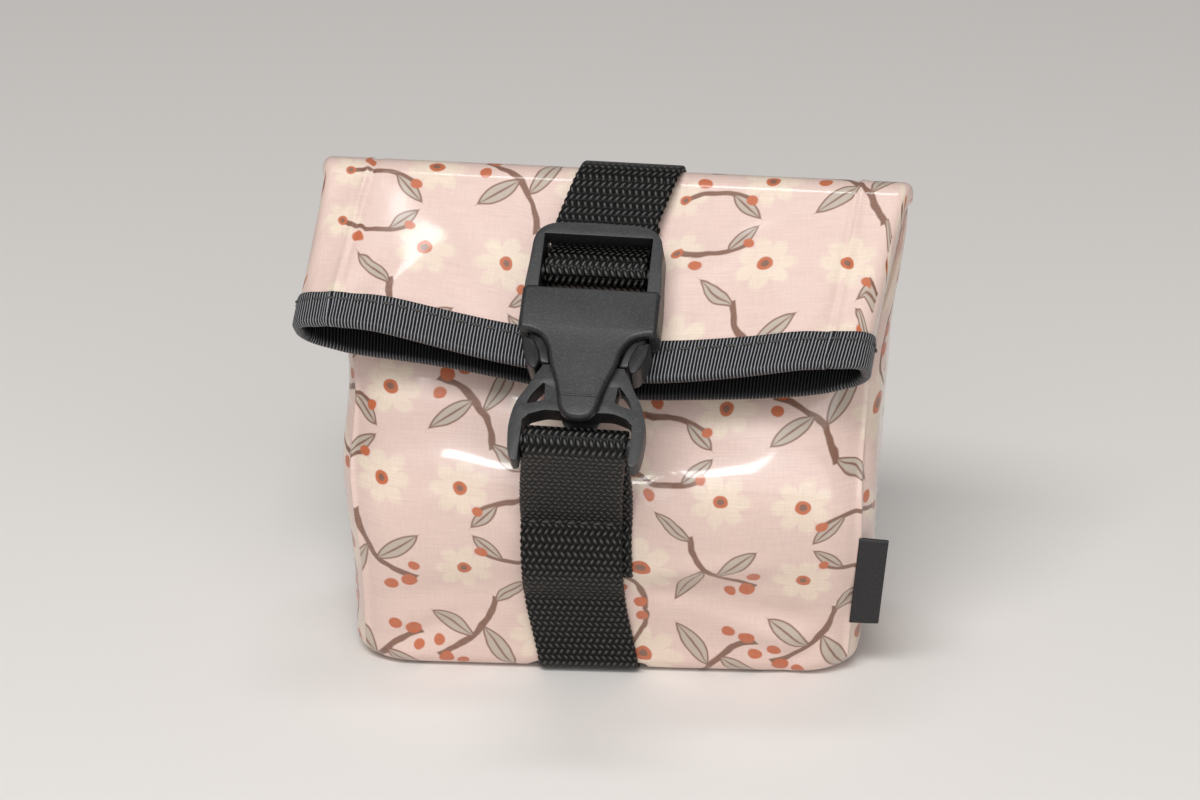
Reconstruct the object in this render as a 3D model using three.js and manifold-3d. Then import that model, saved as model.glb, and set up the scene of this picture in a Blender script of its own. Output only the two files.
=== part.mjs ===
// Roll-top treat pouch: a boxed bag of coated cotton with a black lining. Its mouth is bound with
// ribbed tape and folds over to the front, where a webbing strap and a side-release buckle hold it.
// Millimetres, +Z up, the front faces -Y, and the origin lies on the floor under the middle of the base.
import * as THREE from 'three';
import { mergeVertices } from 'three/addons/utils/BufferGeometryUtils.js';
import Module from 'manifold-3d';

const wasm = await Module();
wasm.setup();

// Clearances between pieces that touch
const clear = 0.35;
const layerGap = 0.8;
const seamGap = 0.6;

// Cloth
const fabricThickness = 0.9;
const liningThickness = 0.5;
const baseThickness = 2.6;

// Bag body, from the base to the fold
const baseWidth = 122;
const baseDepth = 50;
const bellyWidth = 130;
const bellyFront = 40;
const bellyBack = 27;
const bellyHeight = 62;
const foldWidth = 147;
const lipWidth = 141;
const cornerRadius = 13;
const frontCrown = 5;
const backCrown = 2.5;

// Fold at the top and the flap that hangs over the front
const foldHeight = 116;
const foldBack = 10;
const foldBendRadius = 4.6;
const foldHalfDepth = 3.2;
const flapSlope = THREE.MathUtils.degToRad(44);
const flapLength = 45;
// How far the ends of the lip stand back from its middle
const lipBow = 6;
const mouthHalfDepth = 6.4;
// How round the side folds are: 1 is a full half circle
const edgeFullness = 0.8;

// Ribbed tape round the mouth
const bindingWidth = 9;
const bindingProud = 0.6;
// How far the lining's end stops short of the tape
const liningHem = 1.2;

// Webbing
const webWidth = 25;
const webThickness = 1.4;
const strapSeamHeight = 90;
const strapSeamGap = 0.9;
const loopEndHeight = 34;
const loopMerge = 6;
const stitchHeight = 50;
const footTurnHeight = 2.2;
const beltGap = 6.2;
const beltLow = 22;
const beltHigh = 82;
const beltRamp = 11;
// Where on the fold the top strap starts to lift off the flap, and where its tail ends under it
const liftStart = 1.55;
const tailTop = 2.12;

// Sewn-in tab on the right front seam, left blank
const tabWidth = 8.5;
const tabHeight = 24;
const tabThickness = 0.9;
const tabMiddle = 27;
const tabGap = 0.85;

// Buckle, in its own frame: X across, Y from the plug's web bar to the ladder, Z out of its face
const buckleOverhang = 27.5;
const socketThickness = 11;
const plateThickness = 2.2;
const socketWidth = 33.6;
const socketEnd = 57;
const sideWall = 2.1;
const shoulderY = 27.2;
const cavityEnd = 36;
const neckHalf = 9.8;
const tongueHalf = 5.4;
const tongueY = 4.3;
const ladderLow = 38.5;
const ladderHigh = 53.6;
const ladderBarY = 45.2;
const ladderBarZ = 0.4;
const ladderBarRadius = 1.8;
const ladderStep = 1.2;
const strapWay = 4.4;
const webBarRadius = 2;
const plugThickness = 5.6;
const plugHalf = 16.1;
const legEnd = -6.4;
const bridgeY = 7;
const bladeHalf = 3.2;
const bladeEnd = 31;
const prongRootY = 19;
const prongTipY = 35;
const prongGripThickness = 8.6;
const edgeRound = 0.8;
const plugRound = 0.6;

// How finely the cloth is divided
const cornerSteps = 3;
const straightSteps = 6;
const bodySteps = 14;
const bendSteps = 6;
const flapSteps = 4;

// Values that follow from the sizes above
const panelFoot = baseThickness + clear;
const footTop = panelFoot + 3;
const webSlot = webWidth / 2 + 0.7;
const webLift = clear + webThickness / 2;
const doubleLift = webLift + webThickness + layerGap;
const loopRadius = webBarRadius + clear + webThickness / 2;
const liningOuter = fabricThickness + layerGap;
const liningInner = liningOuter + liningThickness;
const foldTurn = Math.PI / 2 + flapSlope;
const buckleSlope = flapSlope - Math.atan2(mouthHalfDepth - foldHalfDepth, flapLength);
const cavityHalf = socketThickness / 2 - plateThickness;

// Smooth curve through [height, value] knots, level at each knot
function smoothThrough(knots, height) {
  const last = knots.findIndex(([h]) => h >= height);
  const upper = last < 0 ? knots.length - 1 : Math.max(last, 1);
  const [h0, value0] = knots[upper - 1];
  const [h1, value1] = knots[upper];
  return THREE.MathUtils.lerp(value0, value1, THREE.MathUtils.smoothstep(height, h0, h1));
}

// One cross-section of the bag's tube. v runs 0 to 1 up the body, 1 to 2 round the fold and 2 to 3
// down the flap.
function section(v) {
  if (v <= 1) {
    const z = THREE.MathUtils.lerp(panelFoot, foldHeight, v);
    return bodySection(z);
  }
  const turn = foldTurn * Math.min(v - 1, 1);
  const along = flapLength * Math.max(v - 2, 0);
  const bendAt = [
    foldBack - foldBendRadius + foldBendRadius * Math.cos(turn),
    foldHeight + foldBendRadius * Math.sin(turn),
  ];
  const halfDepth = THREE.MathUtils.lerp(foldHalfDepth, mouthHalfDepth, Math.max(v - 2, 0));
  return {
    centre: [bendAt[0] - along * Math.cos(flapSlope), bendAt[1] - along * Math.sin(flapSlope)],
    outward: [Math.cos(turn), Math.sin(turn)],
    halfWidth: THREE.MathUtils.lerp(foldWidth, lipWidth, Math.max(v - 2, 0)) / 2,
    halfDepth,
    radius: halfDepth * edgeFullness,
    crowns: [0, 0],
  };
}

function bodySection(z) {
  const rise = (base, belly, fold) => smoothThrough([[0, base], [bellyHeight, belly], [foldHeight, fold]], z);
  const front = rise(-baseDepth / 2, -bellyFront, foldBack - foldHalfDepth);
  const back = rise(baseDepth / 2, bellyBack, foldBack + foldHalfDepth);
  const halfWidth = rise(baseWidth / 2, bellyWidth / 2, foldWidth / 2);
  const swell = Math.sin((Math.PI * Math.min(z, foldHeight)) / foldHeight);
  const crowns = [frontCrown * swell, backCrown * swell];
  const halfDepth = (back - front - crowns[0] - crowns[1]) / 2;
  return {
    centre: [(front + crowns[0] + back - crowns[1]) / 2, z],
    outward: [1, 0],
    halfWidth,
    halfDepth,
    radius: Math.min(cornerRadius, halfDepth * edgeFullness),
    crowns,
  };
}

// Share of one side's run that each half corner takes
const cornerShare = 0.2;

// Point on the bag's outside. t counts sides from corner to corner: 0 front, 1 right, 2 back, 3 left.
function bagPoint(t, v) {
  const ring = section(v);
  const side = ((Math.floor(t) % 4) + 4) % 4;
  const s = t - Math.floor(t);
  const facing = -Math.PI / 2 + (side * Math.PI) / 2;
  const alongHalf = (side % 2 === 0 ? ring.halfWidth : ring.halfDepth) - ring.radius;
  const outHalf = (side % 2 === 0 ? ring.halfDepth : ring.halfWidth) - ring.radius;
  const early = Math.min(s / cornerShare, 1);
  const late = Math.max((s - 1 + cornerShare) / cornerShare, 0);
  const angle = facing + (Math.PI / 4) * (early - 1 + late);
  const middle = THREE.MathUtils.clamp((s - cornerShare) / (1 - 2 * cornerShare), 0, 1);
  const run = alongHalf * (2 * middle - 1);
  const x = outHalf * Math.cos(facing) - run * Math.sin(facing) + ring.radius * Math.cos(angle);
  let depth = outHalf * Math.sin(facing) + run * Math.cos(facing) + ring.radius * Math.sin(angle);
  const bow = 1 - (x / ring.halfWidth) ** 2;
  if (side === 0) depth -= ring.crowns[0] * bow;
  if (side === 2) depth += ring.crowns[1] * bow;
  const back = lipBow * Math.max(v - 2, 0) * (x / ring.halfWidth) ** 2;
  const y = ring.centre[0] + depth * ring.outward[0] + back * Math.cos(flapSlope);
  const z = ring.centre[1] + depth * ring.outward[1] + back * Math.sin(flapSlope);
  return new THREE.Vector3(x, y, z);
}

const probe = 1e-3;

function bagNormal(t, v) {
  const round = bagPoint(t + probe, v).sub(bagPoint(t - probe, v));
  const up = bagPoint(t, Math.min(v + probe, 3)).sub(bagPoint(t, Math.max(v - probe, 0)));
  return round.cross(up).normalize();
}

// Point a given depth inside the bag's outside; a negative depth stands proud of it
function insetPoint(t, v, depth) {
  return bagPoint(t, v).addScaledVector(bagNormal(t, v), -depth);
}

// Divisions up the tube between two values of v
function stations(from, to) {
  const all = [];
  for (let i = 0; i <= bodySteps; i++) all.push(i / bodySteps);
  for (let i = 1; i <= bendSteps; i++) all.push(1 + i / bendSteps);
  for (let i = 1; i <= flapSteps; i++) all.push(2 + i / flapSteps);
  const apart = 0.02;
  return [from, ...all.filter((v) => v > from + apart && v < to - apart), to];
}

// Divisions round the tube, with the corners divided finely
function ringSteps(from, to) {
  const steps = [];
  for (let side = Math.floor(from); side < to; side++) {
    for (let i = 0; i < cornerSteps; i++) steps.push(side + (cornerShare * i) / cornerSteps);
    for (let i = 0; i < straightSteps; i++) {
      steps.push(side + cornerShare + ((1 - 2 * cornerShare) * i) / straightSteps);
    }
    for (let i = 0; i < cornerSteps; i++) {
      steps.push(side + 1 - cornerShare + (cornerShare * i) / cornerSteps);
    }
  }
  return [...steps.filter((t) => t >= from && t < to), to];
}

// Closed BufferGeometry from points and triangles, turned so that its faces point out
function solidFrom(points, triangles) {
  let volume = 0;
  for (const [a, b, c] of triangles) {
    volume += points[a].dot(new THREE.Vector3().crossVectors(points[b], points[c]));
  }
  const turned = volume < 0 ? triangles.map(([a, b, c]) => [a, c, b]) : triangles;
  const geometry = new THREE.BufferGeometry();
  const positions = points.flatMap((p) => p.toArray());
  geometry.setAttribute('position', new THREE.Float32BufferAttribute(positions, 3));
  geometry.setIndex(turned.flat());
  return geometry;
}

const quad = (a, b, c, d) => [[a, b, c], [a, c, d]];

// Cloth panel between two seams: columns run round the tube and rows run up it
function panel(fromT, toT, fromV, toV, outer, inner) {
  const columns = ringSteps(fromT, toT);
  const rows = stations(fromV, toV);
  const points = [];
  for (const depth of [outer, inner]) {
    for (const v of rows) {
      const trim = ((seamGap / 2) * cornerShare) / ((section(v).radius * Math.PI) / 4);
      const shrink = (toT - fromT - 2 * trim) / (toT - fromT);
      for (const t of columns) points.push(insetPoint(fromT + trim + (t - fromT) * shrink, v, depth));
    }
  }
  const wide = columns.length;
  const tall = rows.length;
  const side = wide - 1;
  const top = tall - 1;
  const at = (layer, row, column) => layer * wide * tall + row * wide + column;
  const faces = [];
  for (let r = 0; r < tall - 1; r++) {
    for (let c = 0; c < wide - 1; c++) {
      faces.push(...quad(at(0, r, c), at(0, r, c + 1), at(0, r + 1, c + 1), at(0, r + 1, c)));
      faces.push(...quad(at(1, r + 1, c), at(1, r + 1, c + 1), at(1, r, c + 1), at(1, r, c)));
    }
    faces.push(...quad(at(1, r, 0), at(0, r, 0), at(0, r + 1, 0), at(1, r + 1, 0)));
    faces.push(...quad(at(0, r, side), at(1, r, side), at(1, r + 1, side), at(0, r + 1, side)));
  }
  for (let c = 0; c < wide - 1; c++) {
    faces.push(...quad(at(1, 0, c), at(1, 0, c + 1), at(0, 0, c + 1), at(0, 0, c)));
    faces.push(...quad(at(0, top, c), at(0, top, c + 1), at(1, top, c + 1), at(1, top, c)));
  }
  return solidFrom(points, faces);
}

// Tube of cloth all the way round, with some of the panels' columns left out where a skip is given.
// A floor rise closes its foot; without one both ends are open.
function tube(fromV, toV, outer, inner, skip = 1, floorRise = 0) {
  const columns = ringSteps(0, 4).slice(0, -1).filter((t, i) => i % skip === 0);
  const rows = stations(fromV, toV);
  const points = [];
  for (const depth of [outer, inner]) {
    for (const v of rows) {
      for (const t of columns) points.push(insetPoint(t, v, depth));
    }
  }
  const wide = columns.length;
  const tall = rows.length;
  const top = tall - 1;
  const at = (layer, row, column) => layer * wide * tall + row * wide + (column % wide);
  if (floorRise > 0) {
    for (let c = 0; c < wide; c++) points[at(1, 0, c)].z += floorRise;
  }
  const faces = [];
  for (let c = 0; c < wide; c++) {
    for (let r = 0; r < tall - 1; r++) {
      faces.push(...quad(at(0, r, c), at(0, r, c + 1), at(0, r + 1, c + 1), at(0, r + 1, c)));
      faces.push(...quad(at(1, r + 1, c), at(1, r + 1, c + 1), at(1, r, c + 1), at(1, r, c)));
    }
    faces.push(...quad(at(0, top, c), at(0, top, c + 1), at(1, top, c + 1), at(1, top, c)));
    if (floorRise === 0) faces.push(...quad(at(1, 0, c), at(1, 0, c + 1), at(0, 0, c + 1), at(0, 0, c)));
  }
  if (floorRise > 0) {
    const foot = section(fromV).centre;
    const under = points.push(new THREE.Vector3(0, foot[0], points[at(0, 0, 0)].z)) - 1;
    const over = points.push(new THREE.Vector3(0, foot[0], points[at(1, 0, 0)].z)) - 1;
    for (let c = 0; c < wide; c++) {
      faces.push([under, at(0, 0, c + 1), at(0, 0, c)]);
      faces.push([over, at(1, 0, c), at(1, 0, c + 1)]);
    }
  }
  return solidFrom(points, faces);
}

// Solids for cutting and joining
function toManifold(geometry) {
  const bare = geometry.clone();
  bare.deleteAttribute('normal');
  bare.deleteAttribute('uv');
  const merged = mergeVertices(bare, 1e-4);
  return new wasm.Manifold(new wasm.Mesh({
    numProp: 3,
    vertProperties: new Float32Array(merged.attributes.position.array),
    triVerts: new Uint32Array(merged.index.array),
  }));
}

function fromManifold(solid) {
  const mesh = solid.getMesh();
  const geometry = new THREE.BufferGeometry();
  geometry.setAttribute('position', new THREE.Float32BufferAttribute(mesh.vertProperties, 3));
  geometry.setIndex(Array.from(mesh.triVerts));
  return geometry;
}

// Block between two corners
function block(low, high) {
  const size = new THREE.Vector3().subVectors(high, low);
  const middle = new THREE.Vector3().addVectors(low, high).multiplyScalar(0.5);
  return toManifold(new THREE.BoxGeometry(size.x, size.y, size.z).translate(middle.x, middle.y, middle.z));
}

const corner = (x, y, z) => new THREE.Vector3(x, y, z);

// Plate of a given outline, centred on Z = 0, with rounded edges
function plate(shape, thickness, round = edgeRound) {
  const geometry = new THREE.ExtrudeGeometry(shape, {
    depth: thickness - 2 * round,
    bevelThickness: round,
    bevelSize: round,
    bevelOffset: -round,
    bevelSegments: 2,
    curveSegments: 5,
  });
  return geometry.translate(0, 0, round - thickness / 2);
}

// Round bar along X
function crossBar(radius, halfLength, y, z) {
  const bar = new THREE.CylinderGeometry(radius, radius, 2 * halfLength, 16);
  return toManifold(bar.rotateZ(Math.PI / 2).translate(0, y, z));
}

// Strip of webbing: a path of [y, z] points, one webbing thick and one webbing wide
function webbing(path) {
  const knots = path.map(([y, z]) => new THREE.Vector3(y, z, 0));
  const curve = new THREE.CatmullRomCurve3(knots, false, 'centripetal');
  const steps = path.length * 2;
  const left = [];
  const right = [];
  for (let i = 0; i <= steps; i++) {
    const at = new THREE.Vector2().copy(curve.getPoint(i / steps));
    const along = curve.getTangent(i / steps);
    const across = new THREE.Vector2(-along.y, along.x).multiplyScalar(webThickness / 2);
    left.push(at.clone().add(across));
    right.unshift(at.clone().sub(across));
  }
  const edge = new THREE.Shape([...left, ...right]);
  const geometry = new THREE.ExtrudeGeometry(edge, { depth: webWidth, bevelEnabled: false });
  // The strip is drawn in its own XY plane, which is the pouch's YZ plane
  geometry.translate(0, 0, -webWidth / 2);
  const upright = new THREE.Matrix4().makeBasis(corner(0, 1, 0), corner(0, 0, 1), corner(1, 0, 0));
  return geometry.applyMatrix4(upright);
}

// Points between two ends of a straight stretch of strap
function spanned([y0, z0], [y1, z1]) {
  const { lerp } = THREE.MathUtils;
  return [0.2, 0.5, 0.8].map((share) => [lerp(y0, y1, share), lerp(z0, z1, share)]);
}

// Points of a strap that lies on the middle of one side of the bag, lifted off it
const frontMiddle = 0.5;
const backMiddle = 2.5;

function lyingOn(t, fromV, toV, steps, lift) {
  const path = [];
  for (let i = 0; i <= steps; i++) {
    const v = THREE.MathUtils.lerp(fromV, toV, i / steps);
    const at = insetPoint(t, v, -lift(v));
    path.push([at.y, at.z]);
  }
  return path;
}

const heightToV = (z) => (z - panelFoot) / (foldHeight - panelFoot);
const vToHeight = (v) => THREE.MathUtils.lerp(panelFoot, foldHeight, v);

// Buckle's place: its back lies on the bound edge of the mouth, along the flap
const lip = bagPoint(backMiddle, 3);
const buckleUp = [Math.cos(buckleSlope), Math.sin(buckleSlope)];
const buckleOut = [-Math.sin(buckleSlope), Math.cos(buckleSlope)];
const buckleRise = bindingProud + clear + socketThickness / 2;
const webBar = [
  lip.y - buckleOverhang * buckleUp[0] + buckleRise * buckleOut[0],
  lip.z - buckleOverhang * buckleUp[1] + buckleRise * buckleOut[1],
];

function buckleToPouch([y, z]) {
  return [webBar[0] + y * buckleUp[0] + z * buckleOut[0], webBar[1] + y * buckleUp[1] + z * buckleOut[1]];
}

// Base: a rounded plate with a channel for the strap that runs under it
function basePanel() {
  const ring = bodySection(0);
  const halfX = ring.halfWidth;
  const halfY = ring.halfDepth;
  const r = ring.radius;
  const outline = new THREE.Shape();
  outline.absarc(halfX - r, halfY - r, r, 0, Math.PI / 2);
  outline.absarc(r - halfX, halfY - r, r, Math.PI / 2, Math.PI);
  outline.absarc(r - halfX, r - halfY, r, Math.PI, Math.PI * 1.5);
  outline.absarc(halfX - r, r - halfY, r, Math.PI * 1.5, Math.PI * 2);
  const slab = new THREE.ExtrudeGeometry(outline, {
    depth: baseThickness,
    bevelEnabled: false,
    curveSegments: 6,
  });
  const channelTop = webThickness + clear;
  const channel = block(corner(-webSlot, -baseDepth, -1), corner(webSlot, baseDepth, channelTop));
  return fromManifold(toManifold(slab).subtract(channel));
}

// Blank tab caught in the seam between the front and the right gusset
function seamTab() {
  const seam = bagPoint(1, heightToV(tabMiddle));
  const upper = bagPoint(1, heightToV(tabMiddle + tabHeight / 2));
  const lower = bagPoint(1, heightToV(tabMiddle - tabHeight / 2));
  const lean = upper.sub(lower);
  const tab = new THREE.BoxGeometry(tabWidth, tabThickness, tabHeight, 3, 1, 6);
  tab.translate(tabGap + tabWidth / 2, 0, 0);
  tab.rotateY(Math.atan2(lean.x, lean.z));
  tab.rotateX(-Math.atan2(lean.y, lean.z));
  return tab.translate(seam.x, seam.y, seam.z);
}

// Points of the strap where it turns from a wall of the bag to the underside of the base
function footTurn(side) {
  const edge = (side * baseDepth) / 2;
  return [
    [edge + side * webLift, footTurnHeight],
    [edge + side * webLift * 0.55, webThickness * 0.7],
    [edge - side * webLift, webThickness / 2],
    [edge - side * webLift * 2.5, webThickness / 2],
  ];
}

// Strap up the front: it starts behind, goes up round the plug's web bar, comes down and turns under
// the base
function frontStrap() {
  const upward = lyingOn(frontMiddle, heightToV(loopEndHeight), heightToV(stitchHeight), 3, () => webLift);
  const parting = heightToV(loopEndHeight);
  const merge = heightToV(loopEndHeight - loopMerge);
  const share = (v) => THREE.MathUtils.smoothstep(v, merge, parting);
  const spread = (v) => THREE.MathUtils.lerp(webLift, doubleLift, share(v));
  const downward = lyingOn(frontMiddle, heightToV(stitchHeight), heightToV(footTop), 9, spread);
  const foot = downward[0];
  const climb = new THREE.Vector2(webBar[0] - foot[0], webBar[1] - foot[1]).normalize();
  const round = [];
  for (let i = 0; i <= 6; i++) {
    const turn = (Math.PI * i) / 6;
    const forth = loopRadius * Math.sin(turn);
    const aside = -loopRadius * Math.cos(turn);
    round.push([
      webBar[0] + forth * climb.x - aside * climb.y,
      webBar[1] + forth * climb.y + aside * climb.x,
    ]);
  }
  const behind = spanned(upward.at(-1), round[0]);
  const ahead = spanned(round.at(-1), downward[0]);
  return webbing([...upward, ...behind, ...round, ...ahead, ...downward, ...footTurn(-1)]);
}

const underEnd = baseDepth / 2 - webLift * 2.5 - clear;

function baseStrap() {
  return webbing([[-underEnd, webThickness / 2], [0, webThickness / 2], [underEnd, webThickness / 2]]);
}

// Strap up the back: sewn down low and high, and free between, where a belt passes
function backStrap() {
  const bow = (v) => {
    const z = vToHeight(v);
    const rise = THREE.MathUtils.smoothstep(z, beltLow, beltLow + beltRamp);
    return webLift + beltGap * rise * (1 - THREE.MathUtils.smoothstep(z, beltHigh - beltRamp, beltHigh));
  };
  const upward = lyingOn(backMiddle, heightToV(footTop), heightToV(strapSeamHeight), 18, bow);
  return webbing([...footTurn(1).reverse(), ...upward]);
}

// Strap over the fold and down to the ladder bar, where it turns back under itself
function topStrap() {
  const start = heightToV(strapSeamHeight + strapSeamGap);
  const share = (v) => THREE.MathUtils.smoothstep(v, liftStart, tailTop);
  const spread = (v) => THREE.MathUtils.lerp(webLift, doubleLift + bindingProud, share(v));
  const overFold = lyingOn(backMiddle, start, tailTop, 16, spread);
  const inner = clear + webThickness / 2 - socketThickness / 2;
  const incoming = inner + webThickness + layerGap;
  const turnRadius = ladderBarRadius + clear + webThickness / 2;
  const ladder = [
    [socketEnd + 1, incoming],
    [ladderHigh - 0.6, incoming],
    [ladderBarY + turnRadius, ladderBarZ - 0.4],
    [ladderBarY + turnRadius * 0.7, ladderBarZ + turnRadius * 0.72],
    [ladderBarY, ladderBarZ + turnRadius],
    [ladderBarY - turnRadius * 0.72, ladderBarZ + turnRadius * 0.7],
    [ladderBarY - turnRadius, ladderBarZ - 0.4],
    [ladderBarY - turnRadius * 0.8, inner + 1.2],
    [ladderBarY + 0.4, inner],
    [ladderHigh, inner],
    [socketEnd + 3, inner],
  ];
  return webbing([...overFold, ...ladder.map(buckleToPouch)]);
}

// Outline from its right half, mirrored
function mirrored(half) {
  const right = half.map(([x, y]) => new THREE.Vector2(x, y));
  const left = half.filter(([x]) => x > 0).map(([x, y]) => new THREE.Vector2(-x, y)).reverse();
  return new THREE.Shape([...right, ...left]);
}

// Right half of a smooth outline through a few points
function smoothHalf(points, steps) {
  const curve = new THREE.SplineCurve(points.map(([x, y]) => new THREE.Vector2(x, y)));
  return curve.getPoints(steps).map((p) => [p.x, p.y]);
}

// Socket: a shell open at its mouth and sides, with the ladder behind it for the adjustable strap
function socket() {
  const half = socketWidth / 2;
  const outline = mirrored([
    [0, tongueY],
    ...smoothHalf([
      [tongueHalf * 0.6, tongueY + 0.4],
      [tongueHalf, tongueY + 3.6],
      [tongueHalf + 1, tongueY + 8.8],
      [neckHalf - 1.7, tongueY + 14.6],
      [neckHalf - 0.7, shoulderY - 4.4],
      [neckHalf + 1.2, shoulderY - 1.5],
      [half - 3.4, shoulderY - 0.4],
      [half - 0.6, shoulderY],
    ], 18),
    [half, shoulderY + 2],
    [half, ladderLow - 1],
    [half - 0.8, ladderLow + 5],
    ...smoothHalf([
      [half - 1, socketEnd - 5.6],
      [half - 2.4, socketEnd - 2.2],
      [half - 6.2, socketEnd - 0.4],
    ], 6),
    [0, socketEnd],
  ]);
  const face = socketThickness / 2;
  const wall = half - sideWall;
  const beyond = 1;
  const out = half + beyond;
  const over = face + beyond;
  const cuts = [
    // Hollow for the plug's blade and prongs
    block(corner(-wall, -beyond, -cavityHalf), corner(wall, cavityEnd, cavityHalf)),
    // Mouth and side windows
    block(corner(-out, -beyond, -cavityHalf), corner(out, shoulderY + 0.5, cavityHalf)),
    // Ladder window
    block(corner(-webSlot, ladderLow, -over), corner(webSlot, ladderHigh, over)),
    // Way for the two layers of strap behind the ladder
    block(corner(-webSlot, ladderLow - 1, -over), corner(webSlot, socketEnd + beyond, cavityHalf - strapWay)),
    // Step down of the ladder's face
    block(corner(-out, ladderLow + 0.6, face - ladderStep), corner(out, socketEnd + beyond, over)),
  ];
  const body = toManifold(plate(outline, socketThickness));
  const bar = crossBar(ladderBarRadius, webSlot + 1, ladderBarY, ladderBarZ);
  return fromManifold(cuts.reduce((solid, cut) => solid.subtract(cut), body).add(bar));
}

// Plug: a frame with two windows, a web bar across its foot and a guide blade that enters the socket
function plug() {
  const inner = webSlot;
  const outline = mirrored([
    [0, bladeEnd],
    [bladeHalf - 0.8, bladeEnd],
    [bladeHalf, bladeEnd - 2],
    [bladeHalf, prongRootY],
    [neckHalf, prongRootY],
    ...smoothHalf([
      [neckHalf + 1.5, prongRootY - 2.7],
      [plugHalf - 3.3, prongRootY - 5.8],
      [plugHalf - 0.8, prongRootY - 10.5],
      [plugHalf + 0.2, 3],
      [plugHalf, legEnd + 4.9],
      [plugHalf - 0.4, legEnd + 2.1],
      [plugHalf - 1.2, legEnd],
    ], 14),
    [inner + 0.1, legEnd + 0.2],
    [inner, bridgeY - 2.7],
    ...smoothHalf([
      [inner - 1.4, bridgeY - 1.2],
      [inner - 5, bridgeY],
      [inner - 8.4, bridgeY],
    ], 5),
    [0, bridgeY - 0.4],
  ]);
  let frame = toManifold(plate(outline, plugThickness, plugRound));
  for (const side of [-1, 1]) {
    const window = new THREE.Shape();
    window.moveTo(side * (plugHalf - 6.9), bridgeY + 7.2);
    window.quadraticCurveTo(side * (plugHalf - 4.4), bridgeY + 4.6, side * (plugHalf - 3.5), bridgeY + 1.7);
    window.quadraticCurveTo(side * (plugHalf - 5.5), bridgeY + 2, side * (plugHalf - 7.4), bridgeY + 2.7);
    window.closePath();
    const prism = new THREE.ExtrudeGeometry(window, {
      depth: socketThickness,
      bevelEnabled: false,
      curveSegments: 4,
    });
    frame = frame.subtract(toManifold(prism.translate(0, 0, -socketThickness / 2)));
  }
  return fromManifold(frame.add(crossBar(webBarRadius, inner + 0.8, 0, 0)));
}

// Prong: springs from the plug's shoulder, bulges into a finger grip in the side window, and ends inside
// the socket
function prong(side) {
  const outer = socketWidth / 2 - sideWall - 0.6;
  const root = prongRootY + clear;
  const arm = [
    [neckHalf + 0.7, root],
    [outer - 0.9, root + 2.4],
    [outer, shoulderY - 1],
    [outer, prongTipY - 1.6],
    [outer - 1.5, prongTipY],
    [outer - 3.8, prongTipY - 0.8],
    [outer - 4.3, prongTipY - 7],
    [neckHalf - 0.7, root + 4.4],
    [neckHalf - 1.6, root],
  ];
  const grip = [
    [neckHalf + 1.1, root - 0.9],
    [neckHalf + 1.7, root - 2],
    [outer - 1.1, root - 1.6],
    [outer + 0.3, root + 1],
    [outer + 1.1, root + 3.6],
    [outer + 1.3, shoulderY - 1.7],
    [neckHalf + 2.8, shoulderY - 2.3],
    [neckHalf + 1.4, root + 2.8],
    [neckHalf + 0.8, root + 0.6],
  ];
  const toSide = (points) => new THREE.Shape(points.map(([x, y]) => new THREE.Vector2(side * x, y)));
  const spring = toManifold(plate(toSide(arm), plugThickness, plugRound));
  return fromManifold(spring.add(toManifold(plate(toSide(grip), prongGripThickness, plugRound))));
}

// Finishes
const finish = (color, roughness) => new THREE.MeshStandardMaterial({ color, roughness, metalness: 0 });
const coatedCotton = finish(0xe9cfc6, 0.3);
const blackLining = finish(0x17171a, 0.55);
const ribbedTape = finish(0x1d1d21, 0.6);
const blackWebbing = finish(0x151518, 0.6);
const blackAcetal = finish(0x24262a, 0.45);

const pouch = new THREE.Group();

function addPiece(parent, name, geometry, material) {
  const mesh = new THREE.Mesh(geometry, material);
  mesh.name = name;
  parent.add(mesh);
}

// The panels run on over the fold, and are cut there into body and flap
const foldCut = 0.005;
const liningFoot = 0.004;
const bindingTop = 3 - bindingWidth / flapLength;
const mouthEnd = bindingTop - clear / flapLength;
const liningEnd = bindingTop - liningHem / flapLength;
addPiece(pouch, 'base_panel', basePanel(), coatedCotton);
addPiece(pouch, 'front_panel', panel(0, 1, 0, 1 - foldCut, 0, fabricThickness), coatedCotton);
addPiece(pouch, 'right_gusset', panel(1, 2, 0, 1 - foldCut, 0, fabricThickness), coatedCotton);
addPiece(pouch, 'back_panel', panel(2, 3, 0, 1 - foldCut, 0, fabricThickness), coatedCotton);
addPiece(pouch, 'left_gusset', panel(3, 4, 0, 1 - foldCut, 0, fabricThickness), coatedCotton);
addPiece(pouch, 'flap_face', panel(1.5, 3.5, 1 + foldCut, mouthEnd, 0, fabricThickness), coatedCotton);
addPiece(pouch, 'flap_underside', panel(3.5, 5.5, 1 + foldCut, mouthEnd, 0, fabricThickness), coatedCotton);
const innerBag = tube(liningFoot, liningEnd, liningOuter, liningInner, 2, liningThickness);
addPiece(pouch, 'lining', innerBag, blackLining);
addPiece(pouch, 'mouth_binding', tube(bindingTop, 3, -bindingProud, liningInner + bindingProud), ribbedTape);
addPiece(pouch, 'seam_tab', seamTab(), ribbedTape);
addPiece(pouch, 'front_strap', frontStrap(), blackWebbing);
addPiece(pouch, 'base_strap', baseStrap(), blackWebbing);
addPiece(pouch, 'back_strap', backStrap(), blackWebbing);
addPiece(pouch, 'top_strap', topStrap(), blackWebbing);

const buckle = new THREE.Group();
buckle.position.set(0, webBar[0], webBar[1]);
buckle.rotation.x = buckleSlope;
pouch.add(buckle);
addPiece(buckle, 'buckle_socket', socket(), blackAcetal);
addPiece(buckle, 'buckle_plug', plug(), blackAcetal);
addPiece(buckle, 'left_prong', prong(-1), blackAcetal);
addPiece(buckle, 'right_prong', prong(1), blackAcetal);

export default pouch;
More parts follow.
